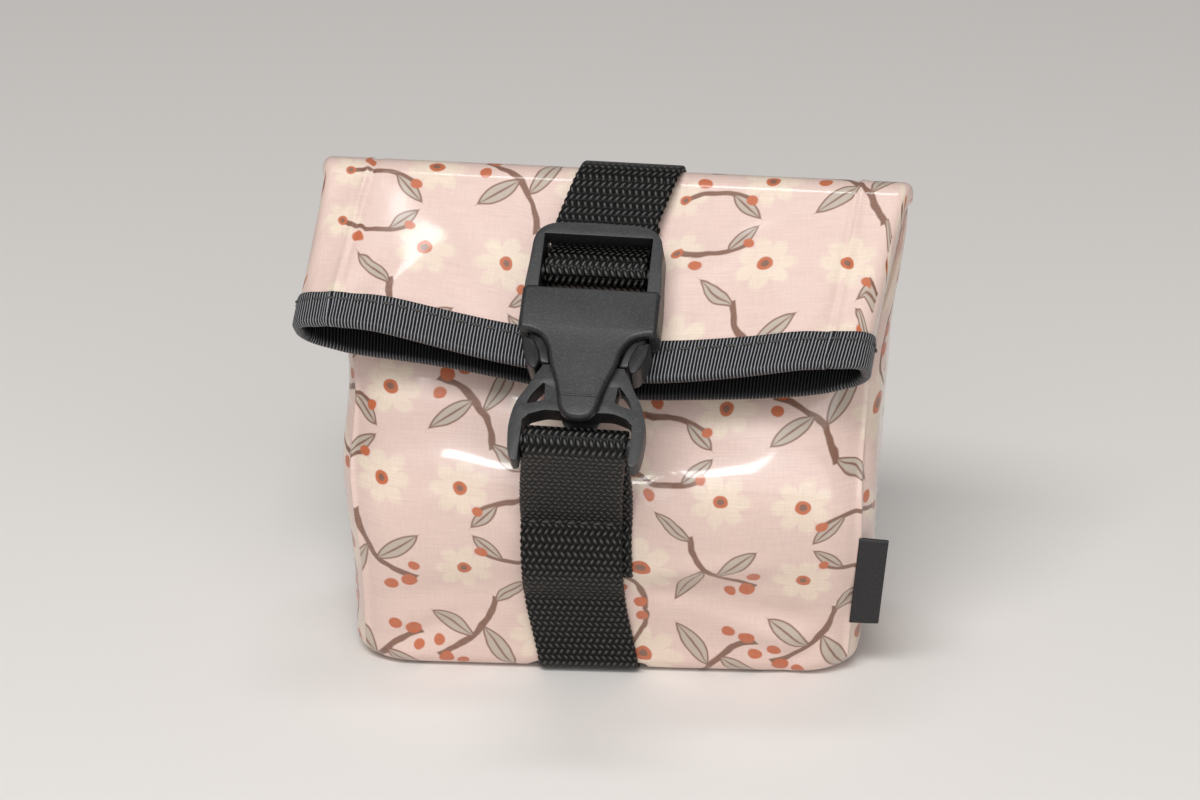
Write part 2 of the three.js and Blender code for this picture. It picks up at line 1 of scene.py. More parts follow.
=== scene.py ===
"""Dresses a roll-top treat pouch: printed bag, ribbed binding, webbing straps and a side-release buckle."""

import logging
import math
from dataclasses import dataclass, replace
from enum import Enum
from functools import partial, reduce
from typing import Callable, Sequence

import bmesh
import bpy
import numpy as np
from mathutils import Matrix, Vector


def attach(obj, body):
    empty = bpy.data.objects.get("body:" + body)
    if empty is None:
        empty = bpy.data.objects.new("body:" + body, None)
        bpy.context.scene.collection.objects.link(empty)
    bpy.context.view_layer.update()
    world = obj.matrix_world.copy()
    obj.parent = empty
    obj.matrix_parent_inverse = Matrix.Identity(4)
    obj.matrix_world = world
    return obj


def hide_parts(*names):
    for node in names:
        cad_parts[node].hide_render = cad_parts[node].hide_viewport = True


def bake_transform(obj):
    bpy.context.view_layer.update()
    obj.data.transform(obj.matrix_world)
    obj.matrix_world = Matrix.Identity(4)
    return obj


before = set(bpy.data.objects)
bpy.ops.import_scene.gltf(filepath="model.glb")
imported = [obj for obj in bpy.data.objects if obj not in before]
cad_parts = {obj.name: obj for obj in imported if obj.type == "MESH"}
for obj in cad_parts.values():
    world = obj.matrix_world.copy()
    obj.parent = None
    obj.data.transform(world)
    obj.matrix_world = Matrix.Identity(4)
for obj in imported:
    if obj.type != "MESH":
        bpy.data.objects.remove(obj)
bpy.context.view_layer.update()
log = logging.getLogger("pouch")

# One millimetre in metres, and the distance in metres within which points are joined.
MM = 0.001
WELD_REACH = 2e-6
# Least height of a strap above the floor, in millimetres.
REST_HEIGHT = 0.02
# Points of a smooth path between two of its knots.
CURVE_STEPS = 24
CLOTH_UV = "cloth"
# Values between which most of a noise lies.
NOISE_SPAN = (0.3, 0.7)
Array = np.ndarray
Piece = bpy.types.Object
Mesh = bpy.types.Mesh
Material = bpy.types.Material
Socket = bpy.types.NodeSocket
Colour = tuple[float, float, float]
Flat = tuple[float, float]
Place = tuple[float, float, float]
Heights = Callable[[Array], Array]


class Body(Enum):
    """Bodies of the pouch that pieces ride on."""

    POUCH = "pouch"
    SOCKET = "socket"
    LEFT_PRONG = "left_prong"
    RIGHT_PRONG = "right_prong"


class Slot(Enum):
    """Material slots of the pouch."""

    COTTON = "coated_cotton"
    LINING = "lining"
    TAPE = "ribbed_tape"
    WEBBING = "webbing"
    BUCKLE = "buckle"


class Field:
    """A number that varies over a surface; arithmetic on it adds nodes."""

    def __init__(self, graph: "Graph", socket: Socket) -> None:
        """Keep the graph and the socket that carries the number."""
        self.graph = graph
        self.socket = socket

    def __add__(self, other: "Field | float") -> "Field":
        """Sum of two numbers."""
        return self.graph.math("ADD", self, other)

    def __sub__(self, other: "Field | float") -> "Field":
        """Difference of two numbers."""
        return self.graph.math("SUBTRACT", self, other)

    def __mul__(self, other: "Field | float") -> "Field":
        """Product of two numbers."""
        return self.graph.math("MULTIPLY", self, other)

    def __truediv__(self, other: "Field | float") -> "Field":
        """Quotient of two numbers."""
        return self.graph.math("DIVIDE", self, other)


class Graph:
    """Shader nodes of one material, wired by short calls."""

    def __init__(self, name: str) -> None:
        """Start a material that holds one surface shader.

        Args:
            name: Name of the material.
        """
        self.material = bpy.data.materials.new(name)
        self.material.use_nodes = True
        self.tree = self.material.node_tree
        self.tree.nodes.clear()
        self.surface = self.add("BsdfPrincipled")
        self.add("OutputMaterial", self.surface.outputs["BSDF"])

    def add(self, kind: str, *values: object, **options: object) -> bpy.types.Node:
        """Add a node.

        Args:
            kind: Kind of the node.
            values: Values of its inputs in order.
            options: Its settings by name.

        Returns:
            The node.
        """
        node = self.tree.nodes.new(f"ShaderNode{kind}")
        for name, option in options.items():
            setattr(node, name, option)
        for socket, value in zip(node.inputs, values):
            self.feed(socket, value)
        return node

    def feed(self, socket: Socket, value: Field | Socket | float | Sequence) -> None:
        """Link a varying value to a socket, or set a constant on it.

        Args:
            socket: Input that takes the value.
            value: Varying value, output socket or constant.
        """
        if isinstance(value, Field):
            value = value.socket
        if isinstance(value, Socket):
            self.tree.links.new(value, socket)
        else:
            socket.default_value = value

    def set(self, name: str, value: Field | Socket | float | Sequence) -> None:
        """Feed one input of the surface shader by name."""
        self.feed(self.surface.inputs[name], value)

    def math(self, kind: str, *values: Field | float, clamp: bool = False) -> Field:
        """Result of a math operation on numbers, held within 0 and 1 if it is clamped."""
        return Field(self, self.add("Math", *values, operation=kind, use_clamp=clamp).outputs[0])

    def vector(self, kind: str, *values: object, out: int = 0) -> Socket:
        """Chosen output of a math operation on vectors."""
        return self.add("VectorMath", *values, operation=kind).outputs[out]

    def split(self, vector: Socket) -> list[Field]:
        """The three numbers of a vector."""
        return [Field(self, socket) for socket in self.add("SeparateXYZ", vector).outputs]

    def join(self, *values: Field | float) -> Socket:
        """Vector of two or three numbers."""
        return self.add("CombineXYZ", *values).outputs[0]

    def cloth(self) -> list[Field]:
        """Millimetres across and along the cloth."""
        place = self.add("UVMap", uv_map=CLOTH_UV).outputs[0]
        return self.split(self.vector("SCALE", place, (0, 0, 0), (0, 0, 0), 1 / MM))[:2]

    def object_place(self) -> Socket:
        """Place in the pouch's frame in metres."""
        return self.add("TexCoord").outputs["Object"]

    def noise(self, vector: Socket, scale: float, detail: float = 2.0, rough: float = 0.5) -> Field:
        """Add smooth noise.

        Args:
            vector: Place to read.
            scale: Detail per unit of the place.
            detail: Number of octaves.
            rough: Share of each further octave.

        Returns:
            Noise between 0 and 1.
        """
        node = self.add("TexNoise")
        for name, value in (("Vector", vector), ("Scale", scale), ("Detail", detail), ("Roughness", rough)):
            self.feed(node.inputs[name], value)
        return Field(self, node.outputs[0])

    def streaks(self, across: Field, along: Field, scale: Flat, rough: float = 0.5) -> Field:
        """Add noise that is drawn out along or across the cloth.

        Args:
            across: Millimetres across the cloth.
            along: Millimetres along the cloth.
            scale: Detail per millimetre across and along.
            rough: Share of each further octave.

        Returns:
            Noise between 0 and 1.
        """
        return self.noise(self.join(across * scale[0], along * scale[1]), 1.0, 3.0, rough)

    def wave(self, phase: Field) -> Field:
        """Cosine wave between 0 and 1, one wave for each unit of the phase."""
        return self.math("MULTIPLY_ADD", self.math("COSINE", phase * (2 * math.pi)), 0.5, 0.5)

    def distance(self, place: Socket, centre: Flat) -> Field:
        """Distance of a place from a point of the plane."""
        return Field(self, self.vector("DISTANCE", place, (*centre, 0.0), out=1))

    def most(self, values: Sequence[Field]) -> Field:
        """Greatest of several numbers."""
        return reduce(partial(self.math, "MAXIMUM"), values)

    def mix(self, share: Field | float, low: object, high: object) -> Socket:
        """Blend two colours.

        Args:
            share: How much of the second colour shows.
            low: First colour or colour socket.
            high: Second colour or colour socket.

        Returns:
            Socket of the blended colour.
        """
        node = self.add("Mix", share, data_type="RGBA")
        for socket, value in ((node.inputs[6], low), (node.inputs[7], high)):
            self.feed(socket, (*value, 1.0) if isinstance(value, tuple) else value)
        return node.outputs[2]

    def span(self, value: Field, low: float, high: float, to_low: float, to_high: float) -> Field:
        """Number mapped from one range to another and held at its ends."""
        return Field(self, self.add("MapRange", value, low, high, to_low, to_high).outputs[0])

    def bump(self, height: Field, depth_mm: float, strength: float = 1.0) -> None:
        """Raise the surface by a height field.

        Args:
            height: Height between 0 and 1.
            depth_mm: Height in millimetres that 1 stands for.
            strength: Share of the effect.
        """
        node = self.add("Bump")
        for name, value in (("Strength", strength), ("Distance", depth_mm * MM), ("Height", height)):
            self.feed(node.inputs[name], value)
        self.set("Normal", node.outputs[0])


def scaled(colour: Colour, share: float) -> Colour:
    """Colour made lighter or darker by a share."""
    return tuple(share * part for part in colour)


@dataclass(frozen=True)
class Flower:
    """One flower of the print, in millimetres from the middle of its cell."""

    centre: Flat
    reach: float
    petals: int


@dataclass(frozen=True)
class Stem:
    """One curved stem of the print: the part of a ring that lies within a disc."""

    centre: Flat
    radius: float
    half: float
    keep: Flat
    reach: float


@dataclass(frozen=True)
class Leaf:
    """One pointed leaf of the print."""

    base: Flat
    tip: Flat
    width: float


@dataclass(frozen=True)
class Drawing:
    """Draws masks of the print's motifs at one place of the cloth; each mask lies between 0 and 1."""

    graph: Graph
    place: Socket
    edge: float = 0.35
    petal_edge: float = 1.6
    petal_power: float = 0.55

    def within(self, far: Field, reach: float) -> Field:
        """Mask of the places no farther than a reach, with a soft edge."""
        return self.graph.math("MULTIPLY_ADD", far, -1 / self.edge, reach / self.edge + 0.5, clamp=True)

    def disc(self, centre: Flat, radius: float) -> Field:
        """Mask of a filled disc."""
        return self.within(self.graph.distance(self.place, centre), radius)

    def curve(self, stem: Stem) -> Field:
        """Mask of a curved stem."""
        off = self.graph.math("ABSOLUTE", self.graph.distance(self.place, stem.centre) - stem.radius)
        return self.within(off, stem.half) * self.disc(stem.keep, stem.reach)

    def blade(self, leaf: Leaf, shrink: float = 0.0) -> Field:
        """Mask of a pointed leaf where two discs cross.

        Args:
            leaf: Leaf to draw.
            shrink: Distance by which the mask stays inside the leaf's edge.

        Returns:
            The mask.
        """
        (base_x, base_y), (tip_x, tip_y) = leaf.base, leaf.tip
        length = math.dist(leaf.base, leaf.tip)
        radius = (length ** 2 / 4 + leaf.width ** 2 / 4) / leaf.width
        away = radius - leaf.width / 2
        sides = []
        for sign in (-1, 1):
            x = (base_x + tip_x) / 2 + sign * away * (-(tip_y - base_y) / length)
            y = (base_y + tip_y) / 2 + sign * away * ((tip_x - base_x) / length)
            sides.append(self.disc((x, y), radius - shrink))
        return self.graph.math("MINIMUM", *sides)

    def daisy(self, flower: Flower) -> Field:
        """Mask of a flower with round petals.

        Args:
            flower: Flower to draw.

        Returns:
            The mask.
        """
        off = self.graph.vector("SUBTRACT", self.place, (*flower.centre, 0.0))
        x, y, _ = self.graph.split(off)
        turn = self.graph.math("ARCTAN2", y, x) * (flower.petals / 2)
        wave = self.graph.math("ABSOLUTE", self.graph.math("COSINE", turn))
        half = flower.reach * 0.5
        rim = self.graph.math("MULTIPLY_ADD", self.graph.math("POWER", wave, self.petal_power), half, half)
        far = Field(self.graph, self.graph.vector("LENGTH", off, out=1))
        return self.graph.math("MULTIPLY_ADD", rim - far, 1 / self.petal_edge, 0.5, clamp=True)


@dataclass(frozen=True)
class PrintedCotton:
    """Coated cotton with a half-drop print of daisies, leaves and berry sprigs; lengths in millimetres."""

    ground: Colour = (0.80, 0.605, 0.535)
    cream: Colour = (0.88, 0.765, 0.60)
    taupe: Colour = (0.50, 0.435, 0.365)
    brown: Colour = (0.180, 0.078, 0.042)
    orange: Colour = (0.53, 0.110, 0.020)
    thread: Colour = (0.42, 0.27, 0.23)
    thread_share: float = 0.32
    wash_scale: float = 0.16
    wash_dark: float = 0.93
    wash_share: float = 0.30
    petal_shares: Flat = (0.25, 0.52)
    weft: Flat = (0.12, 2.3)
    warp: Flat = (2.6, 0.18)
    weft_share: float = 0.6
    rough: Flat = (0.46, 0.34)
    gloss: float = 0.5
    coat: float = 0.75
    coat_rough: float = 0.11
    weave_depth: float = 0.10
    weave_strength: float = 0.75
    cell_across: float = 42.0
    cell_along: float = 50.0
    stray_scale: float = 0.10
    stray: Flat = (3.0, -2.4)
    leaf_outline: float = 0.45
    leaf_rib: float = 0.55
    eye_share: float = 0.25
    pupil_share: float = 0.12
    flowers: tuple[Flower, ...] = (
        Flower((-9.0, 9.5), 9.6, 8),
        Flower((11.0, -13.0), 7.4, 7),
        Flower((-10.5, -17.5), 5.2, 6),
    )
    stems: tuple[Stem, ...] = (
        Stem((25.0, -5.0), 21.5, 0.85, (9.0, 8.5), 12.5),
        Stem((-3.0, -33.0), 17.0, 0.7, (-1.5, -16.5), 9.0),
        Stem((-22.0, 23.0), 14.0, 0.6, (-14.0, 20.0), 8.0),
    )
    leaves: tuple[Leaf, ...] = (
        Leaf((7.0, 7.0), (-0.5, 21.0), 5.0),
        Leaf((9.5, 10.5), (20.0, 2.0), 4.8),
        Leaf((4.0, -1.0), (-5.0, -9.0), 4.0),
        Leaf((1.0, -16.5), (8.5, -24.0), 3.8),
        Leaf((-15.0, 12.0), (-20.5, 1.5), 3.8),
    )
    berries: tuple[tuple[Flat, float], ...] = (
        ((17.0, 16.8), 2.0),
        ((12.6, 18.4), 1.7),
        ((18.6, 11.6), 1.6),
        ((-6.2, -13.2), 1.5),
        ((6.3, -18.8), 1.4),
        ((-9.2, 22.6), 1.6),
        ((-13.2, 17.2), 1.3),
    )

    def cell(self, graph: Graph, across: Field, along: Field) -> Socket:
        """Place within one cell of the half-drop layout, mirrored from cell to cell.

        Args:
            graph: Graph that takes the nodes.
            across: Millimetres across the cloth.
            along: Millimetres along the cloth.

        Returns:
            Millimetres from the middle of the cell.
        """
        column = graph.math("FLOOR", across / self.cell_across)
        odd = graph.math("FLOORED_MODULO", column, 2.0)
        dropped = along + odd * (self.cell_along / 2)
        row = graph.math("FLOOR", dropped / self.cell_along)
        turned = graph.math("FLOORED_MODULO", row, 2.0)
        x = across - (column + 0.5) * self.cell_across
        y = dropped - (row + 0.5) * self.cell_along
        flips = [graph.math("MULTIPLY_ADD", flag, -2.0, 1.0) for flag in (odd, turned)]
        return graph.join(x * flips[0], y * flips[1])

    def printed(self, graph: Graph, across: Field, along: Field) -> Socket:
        """Colour of the print.

        Args:
            graph: Graph that takes the nodes.
            across: Millimetres across the cloth.
            along: Millimetres along the cloth.

        Returns:
            Colour socket.
        """
        plain = graph.join(across, along)
        wander = graph.noise(plain, self.stray_scale, 2.0)
        stray = graph.join(*(wander * reach - reach / 2 for reach in self.stray))
        draw = Drawing(graph, graph.vector("ADD", self.cell(graph, across, along), stray))
        wash = graph.span(graph.noise(plain, self.wash_scale, 3.0), *NOISE_SPAN, 0.0, 1.0)
        colour = graph.mix(wash * self.wash_share, self.ground, scaled(self.ground, self.wash_dark))
        cover = wash * self.petal_shares[0] + self.petal_shares[1]
        petals = graph.most([draw.daisy(flower) for flower in self.flowers])
        colour = graph.mix(petals * cover, colour, self.cream)
        colour = graph.mix(graph.most([draw.curve(stem) for stem in self.stems]), colour, self.brown)
        for leaf in self.leaves:
            colour = graph.mix(draw.blade(leaf), colour, self.brown)
            colour = graph.mix(draw.blade(leaf, self.leaf_outline), colour, self.taupe)
            colour = graph.mix(draw.blade(replace(leaf, width=self.leaf_rib)), colour, self.brown)
        for flower in self.flowers:
            for share, tone in ((self.eye_share, self.orange), (self.pupil_share, self.brown)):
                colour = graph.mix(draw.disc(flower.centre, flower.reach * share), colour, tone)
        return graph.mix(graph.most([draw.disc(*berry) for berry in self.berries]), colour, self.orange)

    def material(self) -> Material:
        """Make the printed cloth with its woven ground under a clear coat.

        Returns:
            The material.
        """
        graph = Graph("coated_cotton")
        across, along = graph.cloth()
        weft = graph.streaks(across, along, self.weft, 0.6)
        warp = graph.streaks(across, along, self.warp, 0.6)
        weave = weft * self.weft_share + warp * (1 - self.weft_share)
        shade = graph.span(weave, *NOISE_SPAN, 0.0, 1.0)
        colour = self.printed(graph, across, along)
        graph.set("Base Color", graph.mix(shade * self.thread_share, colour, self.thread))
        graph.set("Roughness", graph.span(weave, *NOISE_SPAN, *self.rough))
        graph.set("Specular IOR Level", self.gloss)
        graph.set("Coat Weight", self.coat)
        graph.set("Coat Roughness", self.coat_rough)
        graph.bump(weave, self.weave_depth, self.weave_strength)
        return graph.material


@dataclass(frozen=True)
class RibbedTape:
    """Black tape with fine ribs across it; the light rib crests are a painted highlight, dimmed by painted
    shade on the side that is turned inwards.
    """

    valley: Colour = (0.0012, 0.0012, 0.0014)
    # Light rib crest colour: a painted highlight on the black tape.
    crest: Colour = (0.40, 0.405, 0.43)
    pitch: float = 0.84
    stray_scale: float = 0.5
    stray: float = 0.22
    fibre: Flat = (6.0, 1.2)
    highlight_power: float = 4.0
    # Span across the tape, in millimetres from its outer edge, where painted shade on the turned-in side
    # starts, and the share of the painted highlight left there.
    painted_shade_span: Flat = (10.5, 13.0)
    shaded_highlight_share: float = 0.12
    rough: Flat = (0.32, 0.46)
    gloss: float = 0.25
    fibre_height: float = 0.12
    depth: float = 0.2

    def material(self) -> Material:
        """Make the ribs follow the tape's own length.

        Returns:
            The material.
        """
        graph = Graph("ribbed_tape")
        across, along = graph.cloth()
        wander = graph.noise(graph.join(across, along), self.stray_scale, 2.0)
        rib = graph.wave(across / self.pitch + wander * self.stray)
        fibre = graph.streaks(across, along, self.fibre)
        # Painted shade: the rib highlights fade to a small share on the tape's inner side, which lies in
        # shadow in the mouth.
        outside = graph.span(along, *self.painted_shade_span, 1.0, self.shaded_highlight_share)
        # Painted highlight on the rib crests, mixed from the black valley colour to the light crest colour.
        painted_highlight = graph.math("POWER", rib, self.highlight_power) * graph.span(fibre, *NOISE_SPAN, 0.7, 1.0)
        painted_highlight = painted_highlight * outside
        graph.set("Base Color", graph.mix(painted_highlight, self.valley, self.crest))
        graph.set("Roughness", graph.span(fibre, *NOISE_SPAN, *self.rough))
        graph.set("Specular IOR Level", self.gloss)
        graph.bump(rib + fibre * self.fibre_height, self.depth)
        return graph.material


@dataclass(frozen=True)
class WovenWebbing:
    """Black webbing with rows of slanted cords that turn from row to row; the bright flecks on the cord
    crowns are painted highlights.
    """

    deep: Colour = (0.0006, 0.0005, 0.0005)
    # Colour of the bright flecks on the cord crowns: a painted highlight on the black webbing.
    painted_glint: Colour = (0.125, 0.121, 0.113)
    row: float = 1.95
    pitch: float = 1.6
    slant: float = 0.55
    stray_scale: float = 0.35
    stray: float = 0.10
    crown_power: float = 0.9
    glint_power: float = 3.0
    strand: Flat = (4.0, 1.6)
    strand_lean: float = 5.0
    rough: Flat = (0.28, 0.42)
    gloss: float = 0.18
    strand_height: float = 0.04
    depth: float = 0.3

    def material(self) -> Material:
        """Make the cords and their painted highlights follow the strap.

        Returns:
            The material.
        """
        graph = Graph("webbing")
        across, along = graph.cloth()
        wander = graph.noise(graph.join(across, along), self.stray_scale, 2.0)
        lane = along / self.row + wander * self.stray
        part = graph.math("FRACT", lane)
        turn = graph.math("FLOORED_MODULO", graph.math("FLOOR", lane), 2.0)
        lean = (part - 0.5) * graph.math("MULTIPLY_ADD", turn, -2.0 * self.slant, self.slant)
        cord = graph.wave(across / self.pitch + lean + turn * 0.5)
        height = cord * graph.math("POWER", graph.math("SINE", part * math.pi), self.crown_power)
        drawn = across * self.strand[0] + lean * self.strand_lean
        strand = graph.noise(graph.join(drawn, along * self.strand[1]), 1.0, 3.0)
        # Painted highlight: bright flecks on the crowns of the cords.
        painted_highlight = graph.math("POWER", height, self.glint_power) * graph.span(strand, *NOISE_SPAN, 0.75, 1.0)
        graph.set("Base Color", graph.mix(painted_highlight, self.deep, self.painted_glint))
        graph.set("Roughness", graph.span(strand, *NOISE_SPAN, *self.rough))
        graph.set("Specular IOR Level", self.gloss)
        graph.bump(height + strand * self.strand_height, self.depth)
        return graph.material


@dataclass(frozen=True)
class MouldedAcetal:
    """Dark moulded plastic with a fine grain."""

    name: str
    tone: Colour
    rough: float
    gloss: float
    grain: float
    grain_scale: float = 1900.0
    cloud_scale: float = 140.0
    speck_span: Flat = (0.50, 0.72)
    lightest: float = 5.0

    def material(self) -> Material:
        """Make the grain from noise at two scales.

        Returns:
            The material.
        """
        graph = Graph(self.name)
        place = graph.object_place()
        fine = graph.noise(place, self.grain_scale, 2.0, 0.6)
        cloud = graph.noise(place, self.cloud_scale, 3.0)
        speck = graph.span(fine, *self.speck_span, 0.0, 1.0)
        lighter = scaled(self.tone, self.lightest)
        graph.set("Base Color", graph.mix(speck * 0.5 + cloud * 0.25, self.tone, lighter))
        graph.set("Roughness", graph.span(cloud, *NOISE_SPAN, self.rough - 0.05, self.rough + 0.07))
        graph.set("Specular IOR Level", self.gloss)
        graph.bump(fine, self.grain, 0.7)
        return graph.material


MOULDED = MouldedAcetal(
    name="moulded_acetal", tone=(0.0105, 0.0107, 0.0112), rough=0.42, gloss=0.42, grain=0.05)
POLISHED = MouldedAcetal(
    name="polished_acetal", tone=(0.006, 0.006, 0.0065), rough=0.30, gloss=0.3, grain=0.004)


@dataclass(frozen=True)
class SmoothLining:
    """Black coated lining with a faint weave."""

    tone: Colour = (0.0065, 0.0065, 0.0075)
    lightest: float = 2.4
    threads: Flat = (2.6, 0.5)
    span: Flat = (0.7, 1.3)
    rough: Flat = (0.62, 0.5)
    depth: float = 0.08

    def material(self) -> Material:
        """Make a dark cloth with threads both ways.

        Returns:
            The material.
        """
        graph = Graph("lining")
        across, along = graph.cloth()
        weft, warp = (graph.streaks(across, along, scale) for scale in (self.threads, self.threads[::-1]))
        weave = weft + warp
        share = graph.span(weave, *self.span, 0.0, 1.0)
        graph.set("Base Color", graph.mix(share, self.tone, scaled(self.tone, self.lightest)))
        graph.set("Roughness", graph.span(weave, *self.span, *self.rough))
        graph.bump(weave * 0.5, self.depth, 0.7)
        return graph.material


@dataclass(frozen=True)
class SewingThread:
    """Black twisted sewing thread."""

    tone: Colour = (0.034, 0.032, 0.030)
    lightest: float = 3.2
    twist_slants: Flat = (0.6, 0.8)
    twist_scale: float = 16000.0
    rough_scale: float = 900.0
    rough: Flat = (0.38, 0.55)
    depth: float = 0.05

    def material(self) -> Material:
        """Make the twist from bands along each stitch.

        Returns:
            The material.
        """
        graph = Graph("sewing_thread")
        place = graph.object_place()
        x, y, z = graph.split(place)
        slanted = x + y * self.twist_slants[0] + z * self.twist_slants[1]
        twist = graph.math("SINE", slanted * self.twist_scale)
        graph.set("Base Color", graph.mix(twist * 0.5 + 0.5, self.tone, scaled(self.tone, self.lightest)))
        graph.set("Roughness", graph.span(graph.noise(place, self.rough_scale), *NOISE_SPAN, *self.rough))
        graph.bump(twist, self.depth, 0.8)
        return graph.material


def smooth(value: Array, low: Array | float, high: Array | float) -> Array:
    """Smooth step from 0 at low to 1 at high."""
    share = np.clip((value - low) / (high - low), 0.0, 1.0)
    return share * share * (3 - 2 * share)


def hump(value: Array) -> Array:
    """Bell curve that is 1 at 0 and falls off over about 1 on both sides."""
    return np.exp(-(value ** 2))


def unit(vectors: Array) -> Array:
    """Vectors of length 1 in the same directions."""
    return vectors / np.linalg.norm(vectors, axis=-1, keepdims=True)


def add_piece(name: str, mesh: Mesh, finish: Material) -> Piece:
    """Put a mesh into the scene at the origin.

    Args:
        name: Name of the piece.
        mesh: Mesh with its place in its points.
        finish: Material of the piece.

    Returns:
        The new object.
    """
    piece = bpy.data.objects.new(name, mesh)
    bpy.context.scene.collection.objects.link(piece)
    mesh.materials.append(finish)
    mesh.polygons.foreach_set("use_smooth", np.ones(len(mesh.polygons), dtype=bool))
    return piece


def only(piece: Piece) -> None:
    """Make one object the only one selected, and active.

    Args:
        piece: Object to select.
    """
    bpy.ops.object.select_all(action="DESELECT")
    piece.select_set(True)
    bpy.context.view_layer.objects.active = piece


def apply_all(piece: Piece) -> None:
    """Apply every modifier of a piece in order.

    Args:
        piece: Object that carries the modifiers.
    """
    only(piece)
    for name in [modifier.name for modifier in piece.modifiers]:
        bpy.ops.object.modifier_apply(modifier=name)


def thicken(piece: Piece, thickness: float) -> None:
    """Give a sheet of cloth its thickness, inwards.

    Args:
        piece: Object that is a bare surface.
        thickness: Thickness in millimetres.
    """
    wall = piece.modifiers.new("wall", "SOLIDIFY")
    wall.thickness = thickness * MM
    wall.offset = -1
    apply_all(piece)


def weld(mesh: Mesh) -> None:
    """Join the points of a mesh that lie on each other.

    Args:
        mesh: Mesh to clean.
    """
    work = bmesh.new()
    work.from_mesh(mesh)
    bmesh.ops.remove_doubles(work, verts=work.verts, dist=WELD_REACH)
    bmesh.ops.dissolve_degenerate(work, edges=work.edges, dist=WELD_REACH)
    work.to_mesh(mesh)
    work.free()
    mesh.update()


def ringed(points: Array) -> Array:
    """Grid of points with its first column repeated at its end."""
    return np.concatenate([points, points[:, :1]], axis=1)


def seamed_mesh(name: str, points: Array, near: Array, far: Array) -> Mesh:
    """Mesh of rings of points, with a place on the cloth for each face corner so that seams can part.

    Args:
        name: Name of the mesh.
        points: Rows by columns of points in millimetres; the last column joins the first.
        near: Rows by columns by 2 of places on the cloth for each face's first column, in millimetres.
        far: The same for each face's second column.

    Returns:
        The mesh, in metres.
    """
    rows, columns = points.shape[:2]
    r, c = np.meshgrid(np.arange(rows - 1), np.arange(columns), indexing="ij")
    after = (c + 1) % columns
    corners = [(r, c), (r, after), (r + 1, after), (r + 1, c)]
    spots = [near[r, c], far[r, c], far[r + 1, c], near[r + 1, c]]
    faces = np.stack([row * columns + column for row, column in corners], axis=-1).reshape(-1, 4)
    places = np.stack(spots, axis=-2).reshape(-1, 2) * MM
    mesh = bpy.data.meshes.new(name)
    mesh.from_pydata((points.reshape(-1, 3) * MM).tolist(), [], faces.tolist())
    layer = mesh.uv_layers.new(name=CLOTH_UV)
    layer.data.foreach_set("uv", places.astype(np.float32).ravel())
    weld(mesh)
    return mesh


def wrapped_mesh(name: str, points: Array, across: Array, along: Array) -> Mesh:
    """Mesh of rings of points with one sheet of cloth wrapped round it.

    Args:
        name: Name of the mesh.
        points: Rows by columns of points in millimetres; the last column joins the first.
        across: Millimetres across the cloth, with one column more than the points.
        along: Millimetres along the cloth, of the same shape.

    Returns:
        The mesh, in metres.
    """
    cloth = np.stack([across, along], axis=-1)
    return seamed_mesh(name, points, cloth[:, :-1], cloth[:, 1:])


@dataclass(frozen=True)
class Crease:
    """One soft ridge or dent in the cloth, in millimetres across and up."""

    across: float
    up: float
    turn: float
    half_length: float
    half_width: float
    height: float

    def lift(self, x: Array, z: Array) -> Array:
        """Height of the ridge at each place.

        Args:
            x: Places across.
            z: Places up.

        Returns:
            Height, outwards.
        """
        angle = math.radians(self.turn)
        run = (x - self.across) * math.cos(angle) + (z - self.up) * math.sin(angle)
        off = (z - self.up) * math.cos(angle) - (x - self.across) * math.sin(angle)
        return self.height * np.exp(-((run / self.half_length) ** 2) - (off / self.half_width) ** 2)


@dataclass(frozen=True)
class Ring:
    """Cross-sections of the bag's tube, one value per place along it, in millimetres."""

    middle_y: Array
    middle_z: Array
    out_y: Array
    out_z: Array
    half_width: Array
    half_depth: Array
    radius: Array
    front_crown: Array
    back_crown: Array


